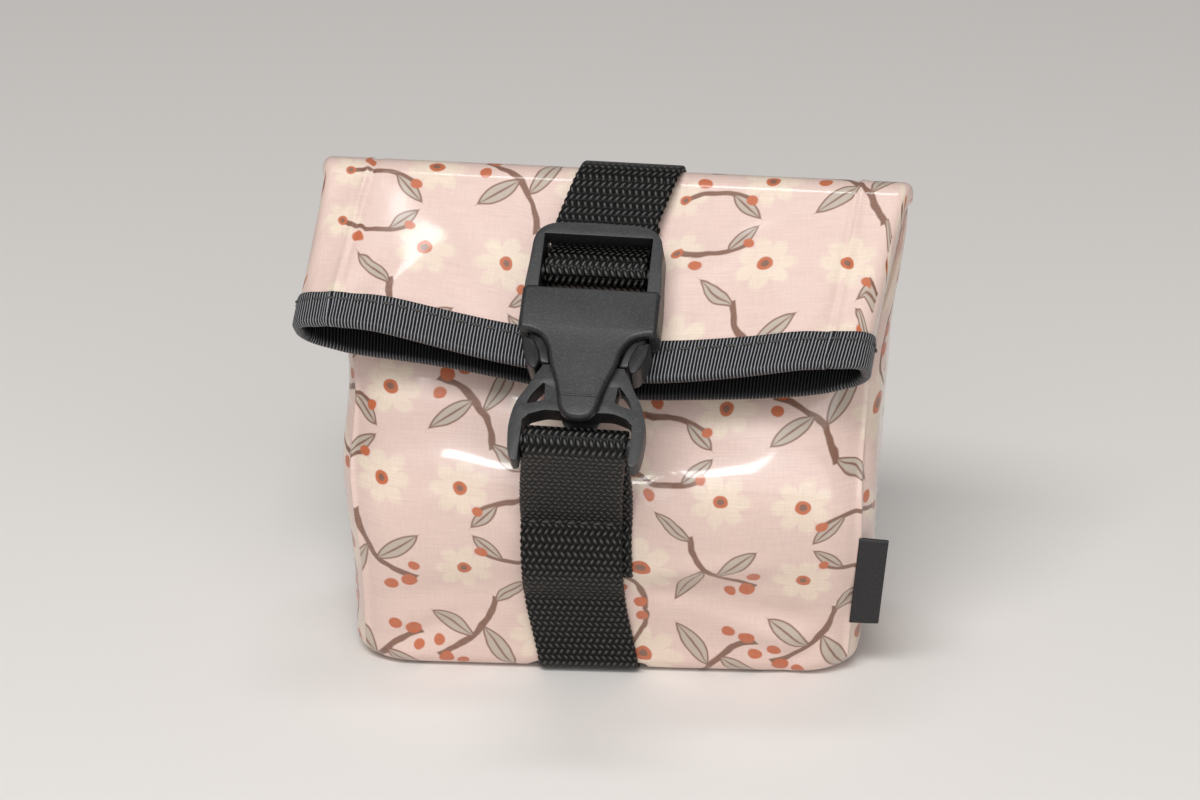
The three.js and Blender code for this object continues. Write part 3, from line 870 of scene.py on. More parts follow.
@dataclass(frozen=True)
class BagForm:
    """Surface of the bag: a tube that rises from the base, bends over the fold and hangs down as the flap.

    Places on it are given by t, which counts sides from corner to corner (0 front, 1 right, 2 back,
    3 left), and v, which runs 0 to 1 up the body, 1 to 2 round the fold and 2 to 3 down the flap. Lengths
    are in millimetres. A pair of numbers is a span over which something starts or fades.
    """

    base_width: float = 128.0
    base_depth: float = 52.0
    belly_width: float = 133.0
    belly_front: float = 40.0
    belly_back: float = 27.0
    belly_height: float = 62.0
    fold_width: float = 144.0
    ear: float = 1.8
    lip_width: float = 141.0
    corner_radius: float = 13.0
    front_crown: float = 5.0
    back_crown: float = 2.5
    fold_height: float = 116.0
    fold_back: float = 10.0
    fold_bend: float = 4.6
    fold_half: float = 3.2
    flap_slope: float = math.radians(44.0)
    flap_length: float = 45.0
    lip_half: float = 6.4
    lip_bow: float = 6.0
    fullness: float = 0.8
    corner_share: float = 0.2
    floor: float = 0.2
    base_round: float = 5.0
    twist: float = math.radians(5.0)
    lean: float = 1.6
    strap_aside: float = 8.3
    strap_dent: float = 1.7
    strap_half: float = 12.5
    crest_height: float = 52.0
    crest_rise: float = 10.5
    crest_reach: float = 38.0
    gape_left: float = 4.8
    gape_right: float = 2.9
    sag: float = 2.4
    pressed_half: float = 18.0
    flap_skew: float = 4.0
    lip_tilt: float = 0.028
    lip_drop: float = 7.5
    lip_rise: float = 0.8
    fold_tilt: float = -0.008
    knee: float = 0.16
    crest_hollow: float = 4.0
    hollow_above: float = 17.0
    hollow_half: float = 9.0
    seam_height: float = 0.9
    seam_share: float = 0.016
    seam_start: Flat = (0.01, 0.05)
    seam_fade: Flat = (0.90, 1.08)
    corner_cut: float = 0.293
    ear_middle: float = 1.5
    ear_half: float = 0.42
    flap_seam: float = 61.5
    flap_seam_start: Flat = (1.05, 1.3)
    flap_lines: tuple[Place, ...] = ((0.0, 0.6, 0.32), (1.4, 0.8, -0.26))
    flap_crease_start: Flat = (1.7, 2.1)
    flap_clearance: float = 1.5
    press_start: Flat = (-6.0, 0.5)
    press_end: Flat = (34.0, 44.0)
    crease_fade: Flat = (0.9, 1.0)
    lip_drop_span: Flat = (-50.0, 22.0)
    fold_tilt_span: Flat = (0.62, 1.0)
    dent_fade: Flat = (0.0, 0.03)
    dent_edge: Flat = (0.2, 2.6)
    drift_top: float = 86.0
    drift_fall: float = 52.0
    drift_foot: Flat = (0.0, 30.0)
    drift_back: Flat = (-26.0, 22.0)
    twist_fade: Flat = (15.0, 88.0)
    lean_start: Flat = (5.0, 40.0)
    lean_fade: Flat = (70.0, 95.0)
    lens_gain: float = 4.0
    lens_end: float = 0.98
    normal_step: float = 2e-3
    front_creases: tuple[Crease, ...] = (
        Crease(-6, 50, 0, 26, 7, -1.6),
        Crease(-24, 47, -18, 16, 4.0, 0.8),
        Crease(24, 35, 4, 14, 3.4, 1.5),
        Crease(23, 28.5, 4, 17, 3.8, -1.7),
        Crease(38, 21, -14, 22, 4.6, -1.5),
        Crease(43, 12.5, -20, 15, 3.4, 1.6),
        Crease(52, 9, 40, 9, 2.6, -1.8),
        Crease(-40, 24, 12, 22, 6.0, -1.2),
        Crease(-46, 11, 28, 13, 3.6, -1.4),
        Crease(-30, 70, 24, 22, 6.0, 0.7),
        Crease(40, 72, -22, 22, 5.0, 0.8),
        Crease(16, 58, -35, 12, 3.0, -0.7),
        Crease(-17, 60, 38, 11, 3.0, -0.6),
    )
    back_creases: tuple[Crease, ...] = (
        Crease(0, 22, 0, 22, 5, -0.9),
        Crease(0, 84, 0, 22, 5, -1.0),
        Crease(-34, 52, 62, 24, 6, 0.8),
        Crease(36, 44, -55, 24, 6, 0.8),
        Crease(-28, 92, -24, 20, 4, 0.7),
        Crease(32, 94, 20, 20, 4, 0.7),
    )
    flap_creases: tuple[Crease, ...] = (
        Crease(-44, -30, 62, 15, 6.0, 0.9),
        Crease(-56, -36, 75, 12, 3.0, -0.7),
        Crease(-27, -20, -35, 20, 4.5, -0.6),
        Crease(30, -16, 28, 22, 4.5, 0.5),
        Crease(48, -30, -60, 16, 5.0, 0.8),
        Crease(62, -24, 80, 20, 3.0, -0.8),
        Crease(-66, -14, 70, 12, 2.5, 0.6),
    )

    def rise(self, z: Array, base: float, belly: float, fold: float, knot: Array | float) -> Array:
        """Smooth run of a size up the body.

        Args:
            z: Heights.
            base: Size at the base.
            belly: Size at the belly.
            fold: Size at the fold.
            knot: Height of the belly.

        Returns:
            The size at each height.
        """
        lower = (belly - base) * smooth(z, 0.0, knot)
        return base + lower + (fold - belly) * smooth(z, knot, self.fold_height)

    def front(self, z: Array, knot: Array | float) -> Array:
        """Depth of the front's middle line, which leans back evenly above a soft crest.

        Args:
            z: Heights.
            knot: Height of the crest.

        Returns:
            Depth at each height.
        """
        share = np.clip((z - knot) / (self.fold_height - knot), 0, 1)
        bend = np.minimum(share, self.knee) ** 2 / (2 * self.knee) + np.maximum(share - self.knee, 0)
        ease = np.maximum(share - 1 + self.knee, 0) ** 2 / (2 * self.knee)
        over = (bend - ease) / (1 - self.knee)
        low = -self.base_depth / 2 - (self.belly_front - self.base_depth / 2) * smooth(z, 0.0, knot)
        hollow = self.crest_hollow * hump((z - knot - self.hollow_above) / self.hollow_half)
        return low + (self.fold_back - self.fold_half + self.belly_front) * over + hollow

    def ring(self, v: Array) -> Ring:
        """Cross-sections of the tube.

        Args:
            v: Places along the tube.

        Returns:
            The cross-section at each place.
        """
        z = self.floor + (self.fold_height - self.floor) * np.clip(v, 0, 1)
        turn = (math.pi / 2 + self.flap_slope) * np.clip(v - 1, 0, 1)
        down = np.clip(v - 2, 0, 1)
        over = v > 1
        swell = np.sin(math.pi * z / self.fold_height)
        low = np.clip(1 - (z - self.floor) / self.base_round, 0, 1)
        tuck = self.base_round * (1 - np.sqrt(1 - low ** 2))
        front = self.front(z, self.crest_height)
        fold = self.fold_back + self.fold_half
        back = self.rise(z, self.base_depth / 2, self.belly_back, fold, self.belly_height)
        widths = [width / 2 for width in (self.base_width, self.belly_width, self.fold_width)]
        wide = self.rise(z, *widths, self.belly_height)
        front_crown = np.where(over, 0.0, self.front_crown * swell)
        back_crown = np.where(over, 0.0, self.back_crown * swell)
        body_half = (back - front - front_crown - back_crown) / 2
        flap_half = self.fold_half + (self.lip_half - self.fold_half) * down
        half_depth = np.where(over, flap_half, body_half - tuck)
        flap_wide = (self.fold_width + (self.lip_width - self.fold_width) * down) / 2
        bend_y = self.fold_back - self.fold_bend + self.fold_bend * np.cos(turn)
        bend_z = self.fold_height + self.fold_bend * np.sin(turn)
        flap_y = bend_y - self.flap_length * down * math.cos(self.flap_slope)
        flap_z = bend_z - self.flap_length * down * math.sin(self.flap_slope)
        ear = self.ear * hump((v - self.ear_middle) / self.ear_half)
        return Ring(
            middle_y=np.where(over, flap_y, (front + front_crown + back - back_crown) / 2),
            middle_z=np.where(over, flap_z, z),
            out_y=np.cos(turn),
            out_z=np.sin(turn),
            half_width=np.where(over, flap_wide, wide - tuck) + ear,
            half_depth=half_depth,
            radius=np.minimum(self.corner_radius, half_depth * self.fullness),
            front_crown=front_crown,
            back_crown=back_crown,
        )

    def under_flap(self, x: Array, y: Array, z: Array) -> Array:
        """How far places on the front would stand inside the flap that lies on them.

        Args:
            x: Places across.
            y: Places in depth.
            z: Heights.

        Returns:
            Distance to move away from the flap.
        """
        lip = self.ring(np.array(3.0))
        cos, sin = math.cos(self.flap_slope), math.sin(self.flap_slope)
        bow = self.lip_bow * (2 * x / self.lip_width) ** 2
        ahead = (y - lip.middle_y) * cos + (z - lip.middle_z) * sin - bow
        off = (z - lip.middle_z) * cos - (y - lip.middle_y) * sin
        lip_half = self.lip_half + self.sag * self.lens(x)
        half = lip_half + (self.fold_half - lip_half) * np.clip(ahead / self.flap_length, 0, 1)
        inside = np.maximum(off + half + self.flap_clearance, 0)
        return inside * smooth(ahead, *self.press_start) * (1 - smooth(ahead, *self.press_end))

    def point(self, t: Array | float, v: Array | float) -> Array:
        """Places on the outside of the bag.

        Args:
            t: Places round it.
            v: Places along it.

        Returns:
            Points in millimetres, with a last axis of three.
        """
        t, v = np.broadcast_arrays(np.asarray(t, dtype=float), np.asarray(v, dtype=float))
        ring = self.ring(v)
        side = np.floor(t).astype(int) % 4
        s = t - np.floor(t)
        facing = -math.pi / 2 + side * math.pi / 2
        even = side % 2 == 0
        run_half = np.where(even, ring.half_width, ring.half_depth) - ring.radius
        out_half = np.where(even, ring.half_depth, ring.half_width) - ring.radius
        early = np.minimum(s / self.corner_share, 1)
        late = np.maximum((s - 1 + self.corner_share) / self.corner_share, 0)
        angle = facing + math.pi / 4 * (early - 1 + late)
        middle = np.clip((s - self.corner_share) / (1 - 2 * self.corner_share), 0, 1)
        run = run_half * (2 * middle - 1)
        near = t - np.round(t)
        body = 1 - smooth(v, *self.seam_fade)
        seam = self.seam_height * hump(near / self.seam_share) * body * smooth(v, *self.seam_start)
        reach = ring.radius + seam
        x = out_half * np.cos(facing) - run * np.sin(facing) + reach * np.cos(angle)
        depth = out_half * np.sin(facing) + run * np.cos(facing) + reach * np.sin(angle)
        inner = np.clip(1 - (x / (ring.half_width - self.corner_cut * ring.radius)) ** 2, 0, 1)
        crown = np.where(side == 0, -ring.front_crown, np.where(side == 2, ring.back_crown, 0.0))
        depth = depth + crown * inner
        depth = depth + self.soft_moves(side, v, x, ring.middle_z, inner)
        down = np.clip(v - 2, 0, 1)
        back = self.lip_bow * (x / ring.half_width) ** 2 + self.lip_tilt * x
        back = (back - self.lip_drop * smooth(x, *self.lip_drop_span) + self.lip_rise) * down
        y = ring.middle_y + depth * ring.out_y + back * math.cos(self.flap_slope)
        z = ring.middle_z + depth * ring.out_z + back * math.sin(self.flap_slope)
        inside = np.where((side == 0) & (v < 1), self.under_flap(x, y, z), 0.0)
        y = y + inside * math.sin(self.flap_slope)
        z = z - inside * math.cos(self.flap_slope)
        z = z - self.fold_tilt * x * smooth(v, *self.fold_tilt_span)
        z = z + self.dent(x, y) * (1 - smooth(v, *self.dent_fade))
        return self.stood(np.stack([x - self.flap_skew * down, y, z], axis=-1))

    def drift(self, y: Array, z: Array) -> Array:
        """How far the strap runs aside of the middle on the front and under the base.

        Args:
            y: Places in depth.
            z: Heights.

        Returns:
            Moves across, in millimetres.
        """
        fall = np.sin(math.pi / 2 * np.clip((self.drift_top - z) / self.drift_fall, 0, 1))
        swing = fall * (0.5 + 0.5 * smooth(z, *self.drift_foot))
        return -self.strap_aside * swing * (1 - smooth(y, *self.drift_back))

    def dent(self, x: Array, y: Array) -> Array:
        """Height by which the base is lifted where the strap passes under it.

        Args:
            x: Places across.
            y: Places in depth.

        Returns:
            Lift in millimetres.
        """
        off = np.abs(x - self.drift(y, np.zeros_like(y)))
        edge = [self.strap_half + reach for reach in self.dent_edge]
        return self.strap_dent * (1 - smooth(off, *edge))

    def stood(self, points: Array) -> Array:
        """Turn and lean of the standing body, which fade out under the flap.

        Args:
            points: Points of the straight body in millimetres.

        Returns:
            The points as the soft body stands.
        """
        x, y, z = np.moveaxis(points, -1, 0)
        angle = self.twist * (1 - smooth(z, *self.twist_fade))
        aside = self.lean * smooth(z, *self.lean_start) * (1 - smooth(z, *self.lean_fade))
        cos, sin = np.cos(angle), np.sin(angle)
        return np.stack([x * cos - y * sin + aside, x * sin + y * cos, z], axis=-1)

    def straight(self) -> "BagForm":
        """The same form without its turn and lean."""
        return replace(self, twist=0.0, lean=0.0)

    def soft_moves(self, side: Array, v: Array, x: Array, z: Array, inner: Array) -> Array:
        """Bulges, creases and seam lines that move the cloth in depth.

        Args:
            side: Side of each place.
            v: Place along the tube.
            x: Place across.
            z: Height of the tube's middle.
            inner: 1 in the middle of a side, falling to 0 at its corners.

        Returns:
            Moves in depth, towards the back of the body and out of the flap's face.
        """
        knot = self.crest_height + self.crest_rise * (1 - hump(x / self.crest_reach))
        crest = self.front(z, knot) - self.front(z, self.crest_height)
        broad = np.minimum(3 * inner, 1)
        free = np.minimum(4 * inner, 1)
        front = crest * inner - sum(crease.lift(x, z) for crease in self.front_creases) * broad
        back = sum(crease.lift(x, z) for crease in self.back_creases) * broad
        down = np.clip(v - 2, 0, 1)
        fall = -self.flap_length * down
        lens = self.lens(x)
        ridges = sum(crease.lift(x, fall) for crease in self.flap_creases)
        flap = np.where(x < 0, self.gape_left, self.gape_right) * down * lens
        flap = (flap + ridges * smooth(v, *self.flap_crease_start)) * free
        off = np.abs(x) - self.flap_seam
        line = sum(hump((off + inside) / half) * height for inside, half, height in self.flap_lines)
        flap = flap + line * smooth(v, *self.flap_seam_start)
        body = np.where(side == 0, front, np.where(side == 2, back, 0.0))
        body = body * (1 - smooth(v, *self.crease_fade))
        under = np.where(side == 0, -self.sag * down * lens * free, 0.0)
        return np.where(v <= 1, body, np.where(side == 2, flap, under))

    def lens(self, x: Array) -> Array:
        """Share by which the free mouth opens on each side of the buckle."""
        free = np.maximum(np.abs(x) - self.pressed_half, 0) / (self.lip_width / 2 - self.pressed_half)
        return self.lens_gain * free ** 2 * np.maximum(1 - (free / self.lens_end) ** 2, 0)

    def normal(self, t: Array | float, v: Array | float) -> Array:
        """Outward directions of the surface.

        Args:
            t: Places round the bag.
            v: Places along it.

        Returns:
            Unit directions with a last axis of three.
        """
        t, v = np.broadcast_arrays(np.asarray(t, dtype=float), np.asarray(v, dtype=float))
        step = self.normal_step
        around = self.point(t + step, v) - self.point(t - step, v)
        upward = self.point(t, np.minimum(v + step, 3)) - self.point(t, np.maximum(v - step, 0))
        return unit(np.cross(around, upward))

    def inset(self, t: Array | float, v: Array | float, depth: Array | float) -> Array:
        """Points a depth inside the outside; a negative depth stands proud.

        Args:
            t: Places round the bag.
            v: Places along it.
            depth: Depth in millimetres.

        Returns:
            Points in millimetres.
        """
        return self.point(t, v) - self.normal(t, v) * np.asarray(depth, dtype=float)[..., None]

    def height(self, z: float) -> float:
        """Place along the tube at a height of the body."""
        return (z - self.floor) / (self.fold_height - self.floor)


def arc_along(points: Array, axis: int) -> Array:
    """Length run so far along one axis of a grid of points.

    Args:
        points: Grid of points.
        axis: Axis to follow.

    Returns:
        Length from the first point, in the points' unit.
    """
    steps = np.linalg.norm(np.diff(points, axis=axis), axis=-1)
    start = np.zeros_like(np.take(points[..., 0], [0], axis=axis))
    return np.concatenate([start, np.cumsum(steps, axis=axis)], axis=axis)


@dataclass(frozen=True)
class Stitching:
    """Row of separate thread stitches, each a small bowed spindle; lengths in millimetres."""

    length: float
    gap: float
    shares: tuple[float, ...] = (0.0, 0.18, 0.5, 0.82, 1.0)
    thick: tuple[float, ...] = (0.05, 0.25, 0.30, 0.25, 0.05)
    rise: tuple[float, ...] = (-0.15, 0.16, 0.24, 0.16, -0.15)
    sides: int = 6

    def row(self, name: str, path: Array, out: Array, finish: Material) -> Piece:
        """Sew one row.

        Args:
            name: Name of the piece.
            path: Points of the row in millimetres.
            out: Outward directions at those points.
            finish: Material of the thread.

        Returns:
            The row as one object.
        """
        run = arc_along(path, 0)
        pace = self.length + self.gap
        count = max(int((run[-1] + self.gap) // pace), 1)
        lead = (run[-1] - count * pace + self.gap) / 2
        around = np.linspace(0, 2 * math.pi, self.sides, endpoint=False)
        points = []
        faces = []
        for index in range(count):
            at = lead + index * pace + np.array(self.shares) * self.length
            spine = np.stack([np.interp(at, run, path[:, axis]) for axis in range(3)], axis=-1)
            up = np.stack([np.interp(at, run, out[:, axis]) for axis in range(3)], axis=-1)
            spine = spine + up * np.array(self.rise)[:, None]
            sideways = np.cross(unit(spine[-1] - spine[0]), up)
            first = len(points)
            for middle, radius, out_of, aside in zip(spine, self.thick, up, sideways):
                for angle in around:
                    reach = math.cos(angle) * out_of + math.sin(angle) * aside
                    points.append(middle + radius * reach)
            last = len(points) - self.sides
            for low in range(first, last, self.sides):
                for k in range(self.sides):
                    after = (k + 1) % self.sides
                    high = low + self.sides
                    faces.append((low + k, low + after, high + after, high + k))
            faces.append(tuple(first + k for k in reversed(range(self.sides))))
            faces.append(tuple(last + k for k in range(self.sides)))
        mesh = bpy.data.meshes.new(name)
        mesh.from_pydata((np.array(points) * MM).tolist(), [], faces)
        mesh.update()
        return add_piece(name, mesh, finish)


@dataclass(frozen=True)
class Bag:
    """The sewn bag: printed outside, black lining, bound mouth and small seam tab, in millimetres."""

    form: BagForm
    cotton: Material
    lining: Material
    tape: Material
    thread: Material
    cloth_columns: int = 54
    lining_columns: int = 24
    tape_columns: int = 72
    row_counts: tuple[int, ...] = (9, 76, 22, 40)
    corner_places: tuple[float, ...] = (0, 0.004, 0.009, 0.015, 0.022, 0.032, 0.05, 0.08, 0.12, 0.16)
    flap_seam_places: Place = (0.752, 0.792, 0.0032)
    foot_shares: tuple[float, ...] = (0.0, 0.1, 0.25, 0.45, 0.65, 0.85)
    print_corner: float = 66.0
    print_back: float = 260.0
    cloth_thickness: float = 0.8
    lining_thickness: float = 0.4
    lining_depth: float = 1.35
    lining_gap: float = 0.7
    lining_gap_fade: Flat = (2.0, 2.6)
    lining_lift: float = 2.0
    lining_lift_fade: Flat = (0.0, 0.06)
    lining_end: float = 2.83
    binding_width: float = 8.4
    binding_edge: Flat = (0.05, -0.45)
    binding_proud: float = 0.65
    binding_depth: float = 2.1
    binding_round: float = 0.9
    binding_stitch: float = 2.2
    stitching: Stitching = Stitching(length=3.0, gap=0.7)
    tab_width: float = 6.8
    tab_height: float = 28.0
    tab_middle: float = 29.5
    tab_half: float = 0.45
    tab_root: float = -0.5
    tab_ahead: float = 0.15
    tab_wave: float = 0.5
    tab_ribs: float = 1.6

    def columns(self, fine: int) -> Array:
        """Places round the tube, close together at corners and seam lines.

        Args:
            fine: Number of divisions across the front and back.

        Returns:
            Places from 0 up to 4, without the last.
        """
        near = np.array(self.corner_places)
        share = self.form.corner_share
        places = []
        for side in range(4):
            straight = fine if side % 2 == 0 else fine // 3
            places.extend(side + near)
            places.extend(side + share + (1 - 2 * share) * np.arange(straight + 1) / straight)
            places.extend(side + 1 - near[:0:-1])
            if side == 2:
                window = np.arange(*self.flap_seam_places)
                places.extend(side + window)
                places.extend(side + 1 - window)
        return np.unique(np.round(places, 6))

    def rows(self, fine: float) -> Array:
        """Places along the tube.

        Args:
            fine: Share of the full number of divisions.

        Returns:
            Places from the base edge to the mouth.
        """
        foot_count, body_count, bend_count, flap_count = (int(count * fine) for count in self.row_counts)
        turn = np.linspace(0, math.pi / 2, foot_count + 2)
        foot = self.form.base_round * (1 - np.cos(turn)) / (self.form.fold_height - self.form.floor)
        body = np.linspace(foot[-1], 1, body_count)[1:]
        bend = 1 + np.linspace(0, 1, bend_count)[1:]
        flap = 2 + np.linspace(0, 1, flap_count)[1:]
        return np.concatenate([foot, body, bend, flap])

    def capped(self, points: Array) -> Array:
        """Rows that close the foot of a tube, then the tube's own rows.

        Args:
            points: Rows by columns of points.

        Returns:
            Rows by columns of points with the foot closed to its middle.
        """
        foot = points[0]
        middle = np.array([0.0, foot[:, 1].mean(), 0.0])
        rings = []
        for share in self.foot_shares:
            ring = middle + (foot - middle) * np.array([share, share, 1.0])
            ring[:, 2] = foot[:, 2].min() + self.form.dent(ring[:, 0], ring[:, 1])
            rings.append(ring)
        return np.concatenate([np.stack(rings), points], axis=0)

    def cloth(self) -> Piece:
        """Make the printed outside as one tube of cloth with its own thickness.

        Returns:
            The cloth.
        """
        t = self.columns(self.cloth_columns)
        v = self.rows(1.0)
        points = self.form.stood(self.capped(self.form.straight().inset(t[None, :], v[:, None], 0.0)))
        loop = ringed(points)
        around = arc_along(loop, 1)
        along = arc_along(loop, 0)
        along = along - along[len(self.foot_shares)] + self.form.base_depth / 2
        right = int(np.searchsorted(t, 1))
        x = loop[..., 0]
        # Each side shows its own stretch of the print, so the print parts at the seams.
        spread = np.stack([
            x,
            self.print_corner + around - around[:, [right]],
            self.print_back - x,
            -self.print_corner + around - around[:, [-1]],
        ])
        side = np.floor(t).astype(int)
        column = np.arange(len(t))
        near = np.stack([spread[side, :, column].T, along[:, :-1]], axis=-1)
        far = np.stack([spread[side, :, column + 1].T, along[:, 1:]], axis=-1)
        mesh = seamed_mesh("bag_cloth", points, near, far)
        piece = add_piece("bag_cloth", mesh, self.cotton)
        thicken(piece, self.cloth_thickness)
        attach(piece, Body.POUCH.value)
        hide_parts("base_panel", "front_panel", "right_gusset", "back_panel", "left_gusset",
                    "flap_face", "flap_underside")
        return piece

    def inner_bag(self) -> Piece:
        """Make the lining, which shows in the mouth.

        Returns:
            The lining.
        """
        t = self.columns(self.lining_columns)
        v = self.rows(0.5)
        v = np.append(v[v < self.lining_end], self.lining_end)
        depth = self.lining_depth + self.lining_gap * (1 - smooth(v, *self.lining_gap_fade))
        plain = replace(self.form.straight(), seam_height=0.0)
        points = plain.inset(t[None, :], v[:, None], depth[:, None])
        points[..., 2] += (self.lining_lift * (1 - smooth(v, *self.lining_lift_fade)))[:, None]
        points = self.form.stood(self.capped(points))
        loop = ringed(points)
        mesh = wrapped_mesh("bag_lining", points, arc_along(loop, 1), arc_along(loop, 0))
        piece = add_piece("bag_lining", mesh, self.lining)
        thicken(piece, self.lining_thickness)
        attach(piece, Body.POUCH.value)
        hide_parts("lining")
        return piece

    def binding(self) -> Piece:
        """Make the ribbed tape that is folded over the mouth's edge.

        Returns:
            The tape.
        """
        t = self.columns(self.tape_columns)
        top = 3 - self.binding_width / self.form.flap_length
        outer = [(top, depth) for depth in self.binding_edge]
        outer += [(v, -self.binding_proud) for v in np.linspace(top, 3, 12)[1:]]
        rows = [self.form.inset(t, v, depth) for v, depth in outer]
        edge = self.form.point(t, 3.0)
        out = self.form.normal(t, 3.0)
        down = np.array([0.0, -math.cos(self.form.flap_slope), -math.sin(self.form.flap_slope)])
        middle = (self.binding_depth - self.binding_proud) / 2
        half = (self.binding_depth + self.binding_proud) / 2
        for angle in np.linspace(0, math.pi, 9)[1:-1]:
            lift = half * math.cos(angle) - middle
            rows.append(edge + out * lift + down * (self.binding_round * half * math.sin(angle)))
        rows.extend(self.form.inset(t, v, self.binding_depth) for v in np.linspace(3, top, 10))
        # The first row again closes the tape on itself.
        points = np.stack([*rows, rows[0]])
        loop = ringed(points)
        across = np.broadcast_to(arc_along(loop, 1)[[len(outer) - 1]], loop.shape[:2])
        mesh = wrapped_mesh("mouth_tape", points, across, arc_along(loop, 0))
        piece = add_piece("mouth_tape", mesh, self.tape)
        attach(piece, Body.POUCH.value)
        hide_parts("mouth_binding")
        return piece

    def binding_stitches(self) -> Piece:
        """Sew the tape with one row of stitches near its upper edge.

        Returns:
            The row of stitches.
        """
        t = np.linspace(0, 4, 700)
        v = 3 - (self.binding_width - self.binding_stitch) / self.form.flap_length
        path = self.form.inset(t, v, -self.binding_proud)
        piece = self.stitching.row("tape_stitches", path, self.form.normal(t, v), self.thread)
        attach(piece, Body.POUCH.value)
        return piece

    def tab(self) -> Piece:
        """Make the small folded tab that is caught in the right front seam.

        Returns:
            The tab.
        """
        share = np.linspace(-0.5, 0.5, 25)[:, None]
        low = self.form.point(1.0, self.form.height(self.tab_middle - self.tab_height / 2))
        high = self.form.point(1.0, self.form.height(self.tab_middle + self.tab_height / 2))
        line = low + (high - low) * (share + 0.5)
        out = np.linspace(self.tab_root, self.tab_width - self.tab_half, 14)
        angles = np.linspace(math.pi / 2, -math.pi / 2, 7)[1:-1]
        reach = np.concatenate([out, out[-1] + self.tab_half * np.cos(angles), out[::-1]])
        face = np.full_like(out, self.tab_half)
        rise = np.concatenate([face, self.tab_half * np.sin(angles), -face])
        hold = np.clip(reach / self.tab_width, 0, 1) ** 1.5
        wave = self.tab_wave * np.sin(3.0 * share + 0.6) * hold
        x, y, z = line[:, [0]], line[:, [1]], line[:, [2]]
        places = np.broadcast_arrays(x + reach, y - self.tab_ahead - rise - wave, z)
        points = np.stack(places, axis=-1)
        shut = (points + points[:, ::-1]) / 2
        points = np.concatenate([shut[:1], points, shut[-1:]])
        loop = ringed(points)
        mesh = wrapped_mesh("seam_tab_loop", points, arc_along(loop, 0) * self.tab_ribs, arc_along(loop, 1))
        piece = add_piece("seam_tab_loop", mesh, self.lining)
        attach(piece, Body.POUCH.value)
        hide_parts("seam_tab")
        return piece

    def build(self) -> list[Piece]:
        """Make the bag's pieces."""
        return [self.cloth(), self.inner_bag(), self.binding(), self.binding_stitches(), self.tab()]


@dataclass(frozen=True)
class BuckleFrame:
    """Place of the buckle: x across, y from the plug's web bar up to the ladder, z out of its face."""

    bar_y: float = -59.8387
    bar_z: float = 79.9472
    slope: float = math.radians(39.93248)

    def to_pouch(self, y: float, z: float) -> Flat:
        """Depth and height in the pouch of a point on the buckle's middle plane."""
        cos, sin = math.cos(self.slope), math.sin(self.slope)
        return self.bar_y + y * cos - z * sin, self.bar_z + y * sin + z * cos

    def settle(self, piece: Piece) -> None:
        """Move a mesh from the buckle's own frame into the pouch's frame.

        Args:
            piece: Object at the origin whose mesh is in the buckle's frame, in metres.
        """
        cos, sin = math.cos(self.slope), math.sin(self.slope)
        places = np.empty(len(piece.data.vertices) * 3)
        piece.data.vertices.foreach_get("co", places)
        x, y, z = places.reshape(-1, 3).T
        depth = self.bar_y * MM + y * cos - z * sin
        height = self.bar_z * MM + y * sin + z * cos
        piece.data.vertices.foreach_set("co", np.stack([x, depth, height], axis=-1).ravel())
        piece.data.update()


def flowing(knots: Sequence[Flat], step: float) -> Array:
    """Smooth path through points, with even steps.

    Args:
        knots: Points of depth and height in millimetres.
        step: Distance between the points of the path.

    Returns:
        Points of the path.
    """
    way = np.array(knots, dtype=float)
    ends = np.concatenate([[2 * way[0] - way[1]], way, [2 * way[-1] - way[-2]]])
    dense = []
    # Each stretch is blended from straight lines through its four nearest knots, so that it bends evenly.
    for a, b, c, d in zip(ends, ends[1:], ends[2:], ends[3:]):
        k1 = math.sqrt(np.linalg.norm(b - a))
        k2 = k1 + math.sqrt(np.linalg.norm(c - b))
        k3 = k2 + math.sqrt(np.linalg.norm(d - c))
        k = np.linspace(k1, k2, CURVE_STEPS, endpoint=False)[:, None]
        ab = a + (b - a) * k / k1
        bc = b + (c - b) * (k - k1) / (k2 - k1)
        cd = c + (d - c) * (k - k2) / (k3 - k2)
        abc = ab + (bc - ab) * k / k2
        bcd = bc + (cd - bc) * (k - k1) / (k3 - k1)
        dense.append(abc + (bcd - abc) * (k - k1) / (k2 - k1))
    line = np.concatenate([*dense, way[-1:]])
    run = arc_along(line, 0)
    even = np.linspace(0, run[-1], max(int(run[-1] / step), 2) + 1)
    return np.stack([np.interp(even, run, line[:, axis]) for axis in range(2)], axis=-1)


